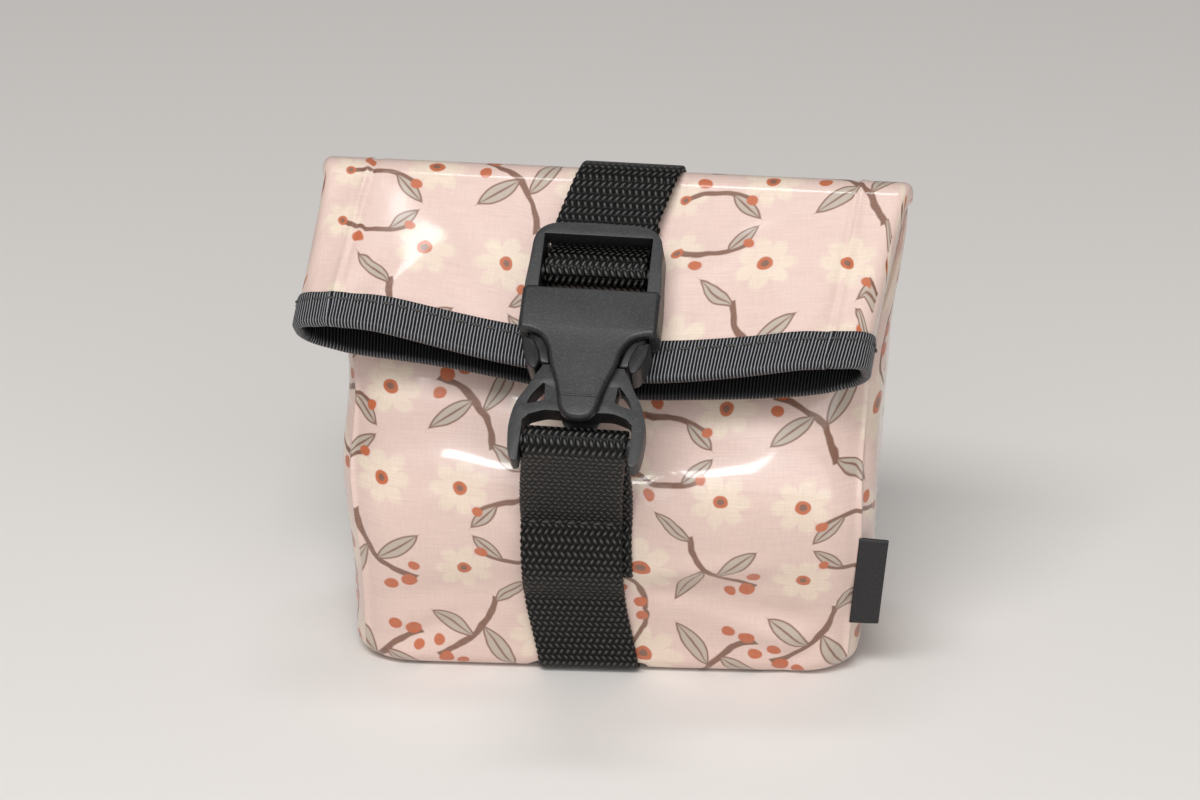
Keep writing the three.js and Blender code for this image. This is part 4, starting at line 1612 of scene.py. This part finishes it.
@dataclass(frozen=True)
class Straps:
    """Webbing round the pouch, in millimetres.

    One strap loops round the plug and runs under the base and up the back. The other runs over the fold
    and through the ladder.
    """

    form: BagForm
    buckle: BuckleFrame
    webbing: Material
    thread: Material
    width: float = 25.0
    thickness: float = 1.4
    lift: float = 1.05
    double_lift: float = 3.25
    edge_round: float = 0.7
    edge_points: int = 5
    flat_points: int = 15
    notch: float = 0.16
    path_step: float = 0.55
    measured_row: int = 40
    loop_radius: float = 3.05
    loop_end: float = 34.0
    loop_merge: float = 6.0
    stitch_height: float = 50.0
    foot_height: float = 8.5
    foot_angles: tuple[float, ...] = (20, 45, 70, 90)
    span_shares: Place = (0.2, 0.5, 0.8)
    belt_gap: float = 6.2
    belt_low: float = 22.0
    belt_high: float = 82.0
    belt_ramp: float = 11.0
    seam_height: float = 90.0
    seam_gap: float = 0.2
    row: float = 1.95
    top_slant: float = 4.5
    slant_depth: Flat = (-17.0, 4.0)
    slant_height: Flat = (91.0, 114.0)
    top_extra: float = 0.6
    top_part: float = 1.55
    top_end: float = 2.12
    tail_gap: float = 0.35
    layer_gap: float = 0.8
    socket_face: float = 5.5
    ladder_way: tuple[Flat, ...] = ((51.2, -0.1), (49.0, 2.2), (46.2, 3.35), (43.9, 2.75), (42.5, 0.6))
    incoming_way: Flat = (59.0, 53.6)
    tail_way: tuple[Flat, ...] = ((42.92, 1.2), (45.6, 0.0), (51.5, 0.0), (61.0, 0.0))
    tail_aside: float = 2.2
    tail_fade: Flat = (24.0, 50.0)
    stitching: Stitching = Stitching(length=2.6, gap=0.55)
    stitch_inset: float = 0.8
    stitch_marks: Place = (0.6, -3.5, 4.0)
    blend_start: Place = (0.0, 0.0195, 0.093)
    blend_end: Place = (0.0, -0.016, 0.116)

    def lying(self, t: float, start: float, end: float, steps: int, lift: Heights) -> list[Flat]:
        """Points of a strap that lies on the middle of one side.

        Args:
            t: Side of the bag.
            start: First place along the tube.
            end: Last place along the tube.
            steps: Number of divisions.
            lift: Height above the cloth at each place.

        Returns:
            Points of depth and height.
        """
        v = np.linspace(start, end, steps + 1)
        at = self.form.straight().inset(t, v, -lift(v))
        return [(float(y), float(z)) for y, z in at[:, 1:]]

    def raised(self, to: float, start: float, end: float) -> Heights:
        """Height above the cloth that changes between two places along the tube.

        Args:
            to: Height after the change.
            start: Place where the change starts.
            end: Place where it ends.

        Returns:
            Function that gives the height at each place.
        """
        def height(v: Array) -> Array:
            """Height at each place."""
            return self.lift + (to - self.lift) * smooth(v, start, end)

        return height

    def spanned(self, start: Flat, end: Flat) -> list[Flat]:
        """Points between two ends of a straight stretch."""
        (y, z), (to_y, to_z) = start, end
        return [(y + (to_y - y) * k, z + (to_z - z) * k) for k in self.span_shares]

    def foot_turn(self, side: int) -> list[Flat]:
        """Points where the strap turns from a wall of the bag to the underside of the base.

        Args:
            side: -1 for the front, 1 for the back.

        Returns:
            Points of depth and height.
        """
        round_off = self.form.base_round
        y, z = side * (self.form.base_depth / 2 - round_off), round_off + self.form.floor
        drop = z - self.thickness / 2
        reach = side * (round_off + self.lift)
        turn = [math.radians(angle) for angle in self.foot_angles]
        return [(y + reach * math.cos(a), z - drop * math.sin(a)) for a in turn]

    def front_path(self) -> list[Flat]:
        """Way of the strap from its hidden end up round the plug's bar and down to the base.

        Returns:
            Points of depth and height.
        """
        height = self.form.height
        parting, merge = height(self.loop_end), height(self.loop_end - self.loop_merge)
        top = height(self.stitch_height)
        up = self.lying(0.5, parting, top, 3, self.raised(self.lift, merge, parting))
        double = self.raised(self.double_lift, merge, parting)
        down = self.lying(0.5, top, height(self.foot_height), 9, double)
        bar_y, bar_z = self.buckle.bar_y, self.buckle.bar_z
        climb_y, climb_z = unit(np.array([bar_y - down[0][0], bar_z - down[0][1]]))
        loop = []
        for angle in np.linspace(0, math.pi, 9):
            forth = self.loop_radius * math.sin(angle)
            aside = -self.loop_radius * math.cos(angle)
            y = bar_y + forth * climb_y - aside * climb_z
            z = bar_z + forth * climb_z + aside * climb_y
            loop.append((y, z))
        ends = self.spanned(up[-1], loop[0]), self.spanned(loop[-1], down[0])
        return [*up, *ends[0], *loop, *ends[1], *down, *self.foot_turn(-1)]

    def back_path(self) -> list[Flat]:
        """Way of the strap from the base up the back, standing off where a belt passes.

        Returns:
            Points of depth and height.
        """
        def lift(v: Array) -> Array:
            """Height of the strap above the back."""
            z = self.form.floor + v * (self.form.fold_height - self.form.floor)
            rise = smooth(z, self.belt_low, self.belt_low + self.belt_ramp)
            fall = 1 - smooth(z, self.belt_high - self.belt_ramp, self.belt_high)
            return self.lift + self.belt_gap * rise * fall

        low, high = self.form.height(self.foot_height), self.form.height(self.seam_height)
        return [*reversed(self.foot_turn(1)), *self.lying(2.5, low, high, 22, lift)]

    def top_path(self) -> list[Flat]:
        """Way of the strap over the fold, round the ladder bar and back under itself.

        Returns:
            Points of depth and height.
        """
        spread = self.raised(self.double_lift + self.top_extra, self.top_part, self.top_end)
        start = self.form.height(self.seam_height + self.seam_gap)
        over = self.lying(2.5, start, self.top_end, 20, spread)
        inner = self.tail_gap + self.thickness / 2 - self.socket_face
        incoming = inner + self.thickness + self.layer_gap
        down = [(y, incoming) for y in self.incoming_way]
        tail = [(y, inner + rise) for y, rise in self.tail_way]
        ladder = [*down, *self.ladder_way, *tail]
        return [*over, *(self.buckle.to_pouch(y, z) for y, z in ladder)]

    def placed(self, points: Array) -> Array:
        """Points of a straight strap moved aside and turned with the soft body.

        Args:
            points: Points in millimetres.

        Returns:
            The points where the strap really runs.
        """
        x, y, z = np.moveaxis(points, -1, 0)
        slant = self.top_slant * smooth(y, *self.slant_depth) * smooth(z, *self.slant_height)
        return self.form.stood(np.stack([x + self.form.drift(y, z) + slant, y, z], axis=-1))

    def section(self) -> Array:
        """Cross-section of the webbing.

        Returns:
            Place across, place out of its plane and edge (1 right, -1 left, 0 neither) of each point.
        """
        half, thin = self.width / 2 - self.edge_round, self.thickness / 2
        flat = np.linspace(-half, half, self.flat_points)
        turn = np.linspace(math.pi / 2, -math.pi / 2, self.edge_points + 2)[1:-1]
        edge = [(half + self.edge_round * math.cos(a), thin * math.sin(a), 1.0) for a in turn]
        face = [(x, thin, 0.0) for x in flat]
        under = [(x, -thin, 0.0) for x in flat[::-1]]
        return np.array([*face, *edge, *under, *((-x, -rise, -side) for x, rise, side in edge)])

    def strip(self, name: str, knots: Sequence[Flat], tail_aside: float = 0.0) -> Piece:
        """Webbing along a path, with rounded notched edges.

        Args:
            name: Name of the piece.
            knots: Points of the path.
            tail_aside: Distance by which the start of the path lies aside.

        Returns:
            The strap.
        """
        way = flowing(knots, self.path_step)
        run = arc_along(way, 0)
        ahead = unit(np.gradient(way, axis=0))
        across, rise, edge = self.section().T[:, None, :]
        notch = self.notch * np.cos(2 * math.pi * run / self.row)
        aside = tail_aside * (1 - smooth(run, *self.tail_fade))
        x = across + notch[:, None] * edge + aside[:, None]
        y = way[:, [0]] - ahead[:, [1]] * rise
        z = way[:, [1]] + ahead[:, [0]] * rise
        points = self.placed(np.stack([x, y, z], axis=-1))
        points[..., 2] = np.maximum(points[..., 2], REST_HEIGHT)
        # Each end is closed by points half way between the two faces.
        count = points.shape[1]
        opposite = (2 * self.flat_points + self.edge_points - 1 - np.arange(count)) % count
        shut = (points + points[:, opposite]) / 2
        points = np.concatenate([shut[:1], points, shut[-1:]])
        loop = ringed(points)
        around = arc_along(loop[[self.measured_row]], 1)
        along = np.concatenate([run[:1], run, run[-1:]])[:, None]
        mesh = wrapped_mesh(name, points, *np.broadcast_arrays(around, along))
        piece = add_piece(name, mesh, self.webbing)
        return piece

    def cross_stitches(self, name: str, at: Flat, out: Flat) -> Piece:
        """Row of stitches across the strap.

        Args:
            name: Name of the piece.
            at: Depth and height of the strap's face.
            out: Outward direction there.

        Returns:
            The stitches.
        """
        half = self.width / 2 - self.stitch_inset
        x = np.linspace(-half, half, 40)
        path = self.placed(np.stack(np.broadcast_arrays(x, *at), axis=-1))
        away = np.broadcast_to(np.array([0.0, *out]), path.shape)
        piece = self.stitching.row(name, path, away, self.thread)
        return piece

    def build(self) -> list[Piece]:
        """Make the straps and their stitches.

        Returns:
            The pieces.
        """
        body = self.strip("body_strap", [*self.front_path(), *self.back_path()], self.tail_aside)
        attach(body, Body.POUCH.value)
        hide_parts("front_strap", "base_strap", "back_strap")
        top = self.strip("top_strap_web", self.top_path())
        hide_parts("top_strap")
        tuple(self.blend_start)
        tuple(self.blend_end)
        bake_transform(top)
        pieces = [body, top]
        form = self.form.straight()
        single, double = (lift + self.thickness / 2 for lift in (self.lift, self.double_lift))
        front, low, high = self.stitch_marks
        marks = [
            ("front_stitches", 0.5, self.stitch_height + front, double),
            ("belt_low_stitches", 2.5, self.belt_low + low, single),
            ("belt_high_stitches", 2.5, self.belt_high + high, single),
        ]
        for name, t, z, lift in marks:
            v = form.height(z)
            at = form.inset(t, v, -lift)
            away = form.normal(t, v)
            row = self.cross_stitches(name, (at[1], at[2]), (away[1], away[2]))
            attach(row, Body.POUCH.value)
            pieces.append(row)
        return pieces


def mirrored(half: Sequence[Flat]) -> list[Flat]:
    """Outline from its right half, which starts and ends on the middle line."""
    return [*half, *((-x, y) for x, y in reversed(half) if x > 0)]


def eased(points: Sequence[Flat], step: float = 0.8) -> list[Flat]:
    """Smooth stretch of an outline through a few points."""
    return [(float(x), float(y)) for x, y in flowing(points, step)]


def slab(name: str, outline: Sequence[Flat], low: float, high: float) -> Piece:
    """Flat plate extruded from an outline.

    Args:
        name: Name of the piece.
        outline: Points of x and y in millimetres.
        low: Lower face in z.
        high: Upper face in z.

    Returns:
        The plate.
    """
    bpy.ops.object.select_all(action="DESELECT")
    bpy.ops.mesh.primitive_circle_add(vertices=len(outline), radius=0.01, fill_type="NGON")
    piece = bpy.context.object
    piece.name = name
    for vertex, (x, y) in zip(piece.data.vertices, outline):
        vertex.co = (x * MM, y * MM, low * MM)
    bpy.ops.object.mode_set(mode="EDIT")
    bpy.ops.mesh.select_all(action="SELECT")
    bpy.ops.mesh.extrude_region_move(TRANSFORM_OT_translate={"value": (0.0, 0.0, (high - low) * MM)})
    bpy.ops.mesh.select_all(action="SELECT")
    bpy.ops.mesh.normals_make_consistent(inside=False)
    bpy.ops.object.mode_set(mode="OBJECT")
    return piece


def block(low: Place, high: Place) -> Piece:
    """Plain box, used as a cutter.

    Args:
        low: Corner with the least x, y and z in millimetres.
        high: Opposite corner.

    Returns:
        The box.
    """
    bpy.ops.object.select_all(action="DESELECT")
    bpy.ops.mesh.primitive_cube_add(size=1.0)
    piece = bpy.context.object
    for vertex in piece.data.vertices:
        vertex.co = [(a if share < 0 else b) * MM for share, a, b in zip(vertex.co, low, high)]
    return piece


def cross_bar(radius: float, half_length: float, y: float, z: float, sides: int = 40) -> Piece:
    """Round bar along x.

    Args:
        radius: Radius in millimetres.
        half_length: Half its length.
        y: Place of its axis in y.
        z: Place of its axis in z.
        sides: Number of flat faces round it.

    Returns:
        The bar.
    """
    bpy.ops.object.select_all(action="DESELECT")
    bpy.ops.mesh.primitive_cylinder_add(vertices=sides, radius=radius * MM, depth=2 * half_length * MM)
    piece = bpy.context.object
    for vertex in piece.data.vertices:
        along, around, up = vertex.co.z, vertex.co.x, vertex.co.y
        vertex.co = (along, y * MM + around, z * MM + up)
    return piece


def cut(piece: Piece, *cutters: Piece) -> None:
    """Cut one piece with others, which are then removed.

    Args:
        piece: Piece to cut.
        cutters: Pieces whose space is taken out of it.
    """
    for cutter in cutters:
        step = piece.modifiers.new("cut", "BOOLEAN")
        step.operation = "DIFFERENCE"
        step.solver = "EXACT"
        step.object = cutter
        apply_all(piece)
        bpy.data.objects.remove(cutter)


def rounded(piece: Piece, width: float, segments: int, angle: float = 40.0) -> None:
    """Round the sharp edges of a piece.

    Args:
        piece: Piece to round.
        width: Width of the rounding in millimetres.
        segments: Number of divisions.
        angle: Least angle of an edge that is rounded, in degrees.
    """
    step = piece.modifiers.new("round", "BEVEL")
    step.width = width * MM
    step.segments = segments
    step.limit_method = "ANGLE"
    step.angle_limit = math.radians(angle)
    step.use_clamp_overlap = True
    step.miter_outer = "MITER_ARC"
    apply_all(piece)


def joined(name: str, pieces: Sequence[Piece]) -> Piece:
    """One object from several.

    Args:
        name: Name of the whole.
        pieces: Objects to join.

    Returns:
        The whole.
    """
    bpy.ops.object.select_all(action="DESELECT")
    for piece in pieces:
        piece.select_set(True)
    bpy.context.view_layer.objects.active = pieces[0]
    bpy.ops.object.join()
    whole = bpy.context.object
    whole.name = name
    return whole


@dataclass(frozen=True)
class Buckle:
    """Side-release buckle in its own frame, in millimetres.

    The socket carries a strap ladder, the plug a web bar, and two prongs spring out of the plug's sides.
    """

    at: BuckleFrame
    moulded: Material
    polished: Material
    half: float = 16.8
    face: float = 5.5
    plate: float = 2.2
    wall: float = 2.1
    shoulder: float = 27.2
    cavity_end: float = 36.0
    neck: float = 9.8
    tongue_half: float = 5.4
    tongue_y: float = 4.3
    end: float = 57.0
    ladder_low: float = 38.5
    ladder_high: float = 53.6
    ladder_bar: float = 45.2
    ladder_bar_radius: float = 1.8
    ladder_bar_z: float = 0.4
    ladder_step: float = 1.2
    ladder_hollow: float = 4.4
    web_slot: float = 13.2
    plug_half: float = 16.1
    plug_depth: float = 2.8
    web_bar_radius: float = 2.0
    leg_end: float = -6.4
    bridge: float = 7.0
    blade_half: float = 3.2
    blade_end: float = 31.0
    root: float = 19.0
    prong_tip: float = 35.0
    prong_gap: float = 0.6
    prong_lift: float = 0.35
    grip_depth: float = 4.3
    cover_round: float = 1.3
    ladder_round: float = 1.25
    plug_round: float = 1.35
    spring_round: float = 0.5
    grip_round: float = 1.0
    mark_radius: float = 0.3
    mark_half: float = 4.3
    mark_y: float = 5.9
    mark_sunk: float = 0.06
    smooth_angle: float = math.radians(32)

    def finish(self, piece: Piece, body: Body, node: str, look: Material) -> Piece:
        """Place a finished buckle piece in the pouch's frame and hand it over.

        Args:
            piece: Piece in the buckle's frame.
            body: Body that it rides.
            node: Node of the part that it stands for.
            look: Its material.

        Returns:
            The piece.
        """
        weld(piece.data)
        only(piece)
        bpy.ops.object.shade_smooth_by_angle(angle=self.smooth_angle)
        self.at.settle(piece)
        piece.data.materials.clear()
        piece.data.materials.append(look)
        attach(piece, body.value)
        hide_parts(node)
        return piece

    def cover_outline(self) -> list[Flat]:
        """Outline of the socket's plates from the tongue's tip up to the ladder.

        Returns:
            Points of x and y.
        """
        half, tip, shoulder, top = self.half, self.tongue_y, self.shoulder, self.ladder_low + 0.6
        tongue, neck = self.tongue_half, self.neck
        curve = eased([
            (1.2, tip + 0.08),
            (2.5, tip + 0.5),
            (3.7, tip + 1.4),
            (tongue - 0.8, tip + 3.0),
            (tongue - 0.2, tip + 5.4),
            (tongue + 0.9, tip + 9.6),
            (neck - 1.7, tip + 14.6),
            (neck - 0.7, shoulder - 4.4),
            (neck + 1.2, shoulder - 1.5),
            (half - 3.4, shoulder - 0.4),
            (half - 0.6, shoulder),
        ])
        side = [(half, shoulder + 1.2), (half, top - 1), (half - 0.5, top)]
        return mirrored([(0, tip), *curve, *side, (0, top)])

    def ladder_outline(self) -> list[Flat]:
        """Outline of the frame that carries the ladder bar.

        Returns:
            Points of x and y.
        """
        half, low, end = self.half, self.ladder_low - 1, self.end
        rail = [(half - 0.3, low), (half - 0.3, low + 3), (half - 0.7, low + 8)]
        corner = eased([
            (half - 1, end - 5.6),
            (half - 1.5, end - 3.7),
            (half - 2.7, end - 2.0),
            (half - 4.4, end - 0.9),
            (half - 6.2, end - 0.4),
            (half - 9, end - 0.15),
        ])
        return mirrored([(0, low), *rail, *corner, (0, end)])

    def socket(self) -> Piece:
        """Make the socket: a hollow shell with open sides, and the ladder for the adjustable strap.

        Returns:
            The socket.
        """
        inside = self.face - self.plate
        beyond = self.half + 1
        over = self.face + 1
        room = self.half - self.wall
        slot, low = self.web_slot, self.ladder_low
        cover = slab("cover", self.cover_outline(), -self.face, self.face)
        rounded(cover, self.cover_round, 5, 60)
        hollow = block((-room, -1, -inside), (room, self.cavity_end, inside))
        mouth = block((-beyond, -1.1, -inside), (beyond, self.shoulder + 0.5, inside))
        top = block((-slot, low, -over), (slot, low + 4, over))
        cut(cover, hollow, mouth, top)
        ladder = slab("ladder", self.ladder_outline(), -self.face, self.face - self.ladder_step)
        window = block((-slot, low - 2, -over), (slot, self.ladder_high, over))
        way = block((-slot, low - 1.2, -over), (slot, self.end + 1, inside - self.ladder_hollow))
        cut(ladder, window, way)
        rounded(ladder, self.ladder_round, 5, 50)
        bar = cross_bar(self.ladder_bar_radius, slot + 1, self.ladder_bar, self.ladder_bar_z)
        mark_place = self.tongue_y + self.mark_y, self.face - self.mark_sunk
        mark = cross_bar(self.mark_radius, self.mark_half, *mark_place, 16)
        shell = joined("socket_shell", [cover, ladder, bar, mark])
        return self.finish(shell, Body.SOCKET, "buckle_socket", self.moulded)

    def plug_outline(self) -> list[Flat]:
        """Outline of the plug from its guide blade down round its legs to the bridge between them.

        Returns:
            Points of x and y.
        """
        inner, half, root, low, bridge = self.web_slot, self.plug_half, self.root, self.leg_end, self.bridge
        leg = eased([
            (self.neck + 1.5, root - 2.7),
            (half - 3.3, root - 5.8),
            (half - 0.8, root - 10.5),
            (half + 0.2, 3),
            (half, low + 4.9),
            (half - 0.4, low + 2.1),
            (half - 0.9, low + 0.7),
            (half - 1.5, low + 0.05),
        ])
        foot = [(inner + 0.5, low + 0.1), (inner + 0.1, low + 0.7), (inner, bridge - 2.7)]
        arch = eased([(inner - 1.4, bridge - 1.2), (inner - 5, bridge), (inner - 8.4, bridge)])
        blade, top = self.blade_half, self.blade_end
        guide = [(blade - 0.8, top), (blade, top - 2), (blade, root), (self.neck, root)]
        return mirrored([(0, top), *guide, *leg, *foot, *arch, (0, bridge - 0.4)])

    def plug(self) -> Piece:
        """Make the plug: a frame with two windows, the web bar and the guide blade.

        Returns:
            The plug.
        """
        body = slab("plug_frame", self.plug_outline(), -self.plug_depth, self.plug_depth)
        half, low = self.plug_half, self.bridge
        outer = eased([
            (half - 6.9, low + 7.2),
            (half - 5.2, low + 5.1),
            (half - 4.2, low + 3.6),
            (half - 3.5, low + 1.7),
        ])
        lower = eased([(half - 3.9, low + 1.5), (half - 5.6, low + 2.0), (half - 7.4, low + 2.7)])
        corner = [*outer, *lower, (half - 7.6, low + 3.4), (half - 7.3, low + 7.0)]
        for side in (-1, 1):
            cut(body, slab("window", [(side * x, y) for x, y in corner], -6, 6))
        rounded(body, self.plug_round, 5, 40)
        bar = cross_bar(self.web_bar_radius, self.web_slot + 0.8, 0, 0)
        return self.finish(joined("plug_frame", [body, bar]), Body.POUCH, "buckle_plug", self.moulded)

    def prong(self, side: int, body: Body, node: str) -> Piece:
        """Make a prong: a spring arm with a thicker finger grip.

        Args:
            side: -1 for the left, 1 for the right.
            body: Body of the prong.
            node: Node that it stands for.

        Returns:
            The prong.
        """
        outer = self.half - self.wall - self.prong_gap
        root = self.root + self.prong_lift
        neck, shoulder, tip = self.neck, self.shoulder, self.prong_tip
        arm = [
            (neck + 0.7, root),
            (outer - 0.9, root + 2.4),
            (outer, shoulder - 1),
            (outer, tip - 1.6),
            (outer - 1.5, tip),
            (outer - 3.8, tip - 0.8),
            (outer - 4.3, tip - 7),
            (neck - 0.7, root + 4.4),
            (neck - 1.6, root),
        ]
        heel = eased([
            (neck + 1.1, root - 0.9),
            (neck + 1.7, root - 2),
            (outer - 1.1, root - 1.6),
            (outer + 0.3, root + 1),
            (outer + 1.1, root + 3.6),
            (outer + 1.3, shoulder - 1.7),
        ], 0.5)
        grip = [*heel, (neck + 2.8, shoulder - 2.3), (neck + 1.4, root + 2.8), (neck + 0.8, root + 0.6)]
        spring = slab("spring", [(side * x, y) for x, y in arm], -self.plug_depth, self.plug_depth)
        rounded(spring, self.spring_round, 3, 40)
        handle = slab("handle", [(side * x, y) for x, y in grip], -self.grip_depth, self.grip_depth)
        rounded(handle, self.grip_round, 5, 40)
        return self.finish(joined(f"{node}_arm", [handle, spring]), body, node, self.polished)

    def build(self) -> list[Piece]:
        """Make the buckle's four pieces."""
        prongs = ((-1, Body.LEFT_PRONG, "left_prong"), (1, Body.RIGHT_PRONG, "right_prong"))
        return [self.socket(), self.plug(), *(self.prong(*which) for which in prongs)]


@dataclass(frozen=True)
class Lamp:
    """Soft oblong lamp: its name, place, width and height in metres, and power in watts."""

    name: str
    place: Place
    size: Flat
    power: float


@dataclass(frozen=True)
class Studio:
    """Plain pale floor, soft lights and the camera; lengths in metres, angles in degrees."""

    floor_tone: Colour = (0.82, 0.79, 0.76)
    floor_rough: float = 0.75
    floor_size: float = 12.0
    air_tone: Colour = (1.0, 0.99, 0.98)
    air_strength: float = 0.22
    target: Place = (-0.0016, -0.0087, 0.0679)
    azimuth: float = 8.2
    elevation: float = 24.75
    distance: float = 1.1
    lens: float = 132.3
    sensor: float = 36.0
    lamps: tuple[Lamp, ...] = (
        Lamp("key", (-0.14, -0.88, 1.22), (0.80, 0.28), 12.0),
        Lamp("top", (-0.04, 0.11, 1.36), (0.48, 0.14), 2.3),
        Lamp("fill", (0.30, -1.18, 0.72), (1.5, 1.2), 8.2),
    )

    def floor(self) -> Piece:
        """Make the pale matt floor.

        Returns:
            The floor.
        """
        bpy.ops.object.select_all(action="DESELECT")
        bpy.ops.mesh.primitive_plane_add(size=self.floor_size)
        piece = bpy.context.object
        piece.name = "studio_floor"
        graph = Graph("studio_floor")
        graph.set("Base Color", (*self.floor_tone, 1.0))
        graph.set("Roughness", self.floor_rough)
        piece.data.materials.append(graph.material)
        return piece

    def air(self) -> None:
        """Set the even light that comes from all sides."""
        world = bpy.data.worlds.new("studio")
        world.use_nodes = True
        light = world.node_tree.nodes["Background"]
        light.inputs["Color"].default_value = (*self.air_tone, 1.0)
        light.inputs["Strength"].default_value = self.air_strength
        bpy.context.scene.world = world

    def hang(self, lamp: Lamp) -> None:
        """Hang a lamp so that it faces the pouch.

        Args:
            lamp: Lamp to hang.
        """
        data = bpy.data.lights.new(lamp.name, "AREA")
        data.shape = "RECTANGLE"
        data.size, data.size_y = lamp.size
        data.energy = lamp.power
        piece = bpy.data.objects.new(lamp.name, data)
        piece.location = lamp.place
        away = Vector(lamp.place) - Vector(self.target)
        piece.rotation_euler = away.to_track_quat("Z", "Y").to_euler()
        bpy.context.scene.collection.objects.link(piece)

    def camera(self) -> None:
        """Set the camera in front of the pouch and above it."""
        yaw, rise = math.radians(self.azimuth), math.radians(self.elevation)
        away = Vector((math.sin(yaw) * math.cos(rise), -math.cos(yaw) * math.cos(rise), math.sin(rise)))
        data = bpy.data.cameras.new("camera")
        data.sensor_width = self.sensor
        data.lens = self.lens
        camera = bpy.data.objects.new("camera", data)
        camera.location = Vector(self.target) + away * self.distance
        camera.rotation_euler = away.to_track_quat("Z", "Y").to_euler()
        bpy.context.scene.collection.objects.link(camera)
        bpy.context.scene.camera = camera

    def build(self) -> None:
        """Set the floor, the lights and the camera."""
        bpy.context.scene.view_settings.view_transform = "Standard"
        self.floor()
        self.air()
        for lamp in self.lamps:
            self.hang(lamp)
        self.camera()


def main() -> None:
    """Dress the pouch and set the studio."""
    logging.basicConfig(level=logging.INFO)
    form = BagForm()
    place = BuckleFrame()
    thread = SewingThread().material()
    webbing = WovenWebbing().material()
    cotton = PrintedCotton().material()
    lining = SmoothLining().material()
    tape = RibbedTape().material()
    bag = Bag(form, cotton, lining, tape, thread)
    straps = Straps(form, place, webbing, thread)
    buckle = Buckle(place, MOULDED.material(), POLISHED.material())
    for part in (bag, straps, buckle):
        for piece in part.build():
            log.info("made %s with %d faces", piece.name, len(piece.data.polygons))
    Studio().build()


if __name__ == "__main__":
    main()
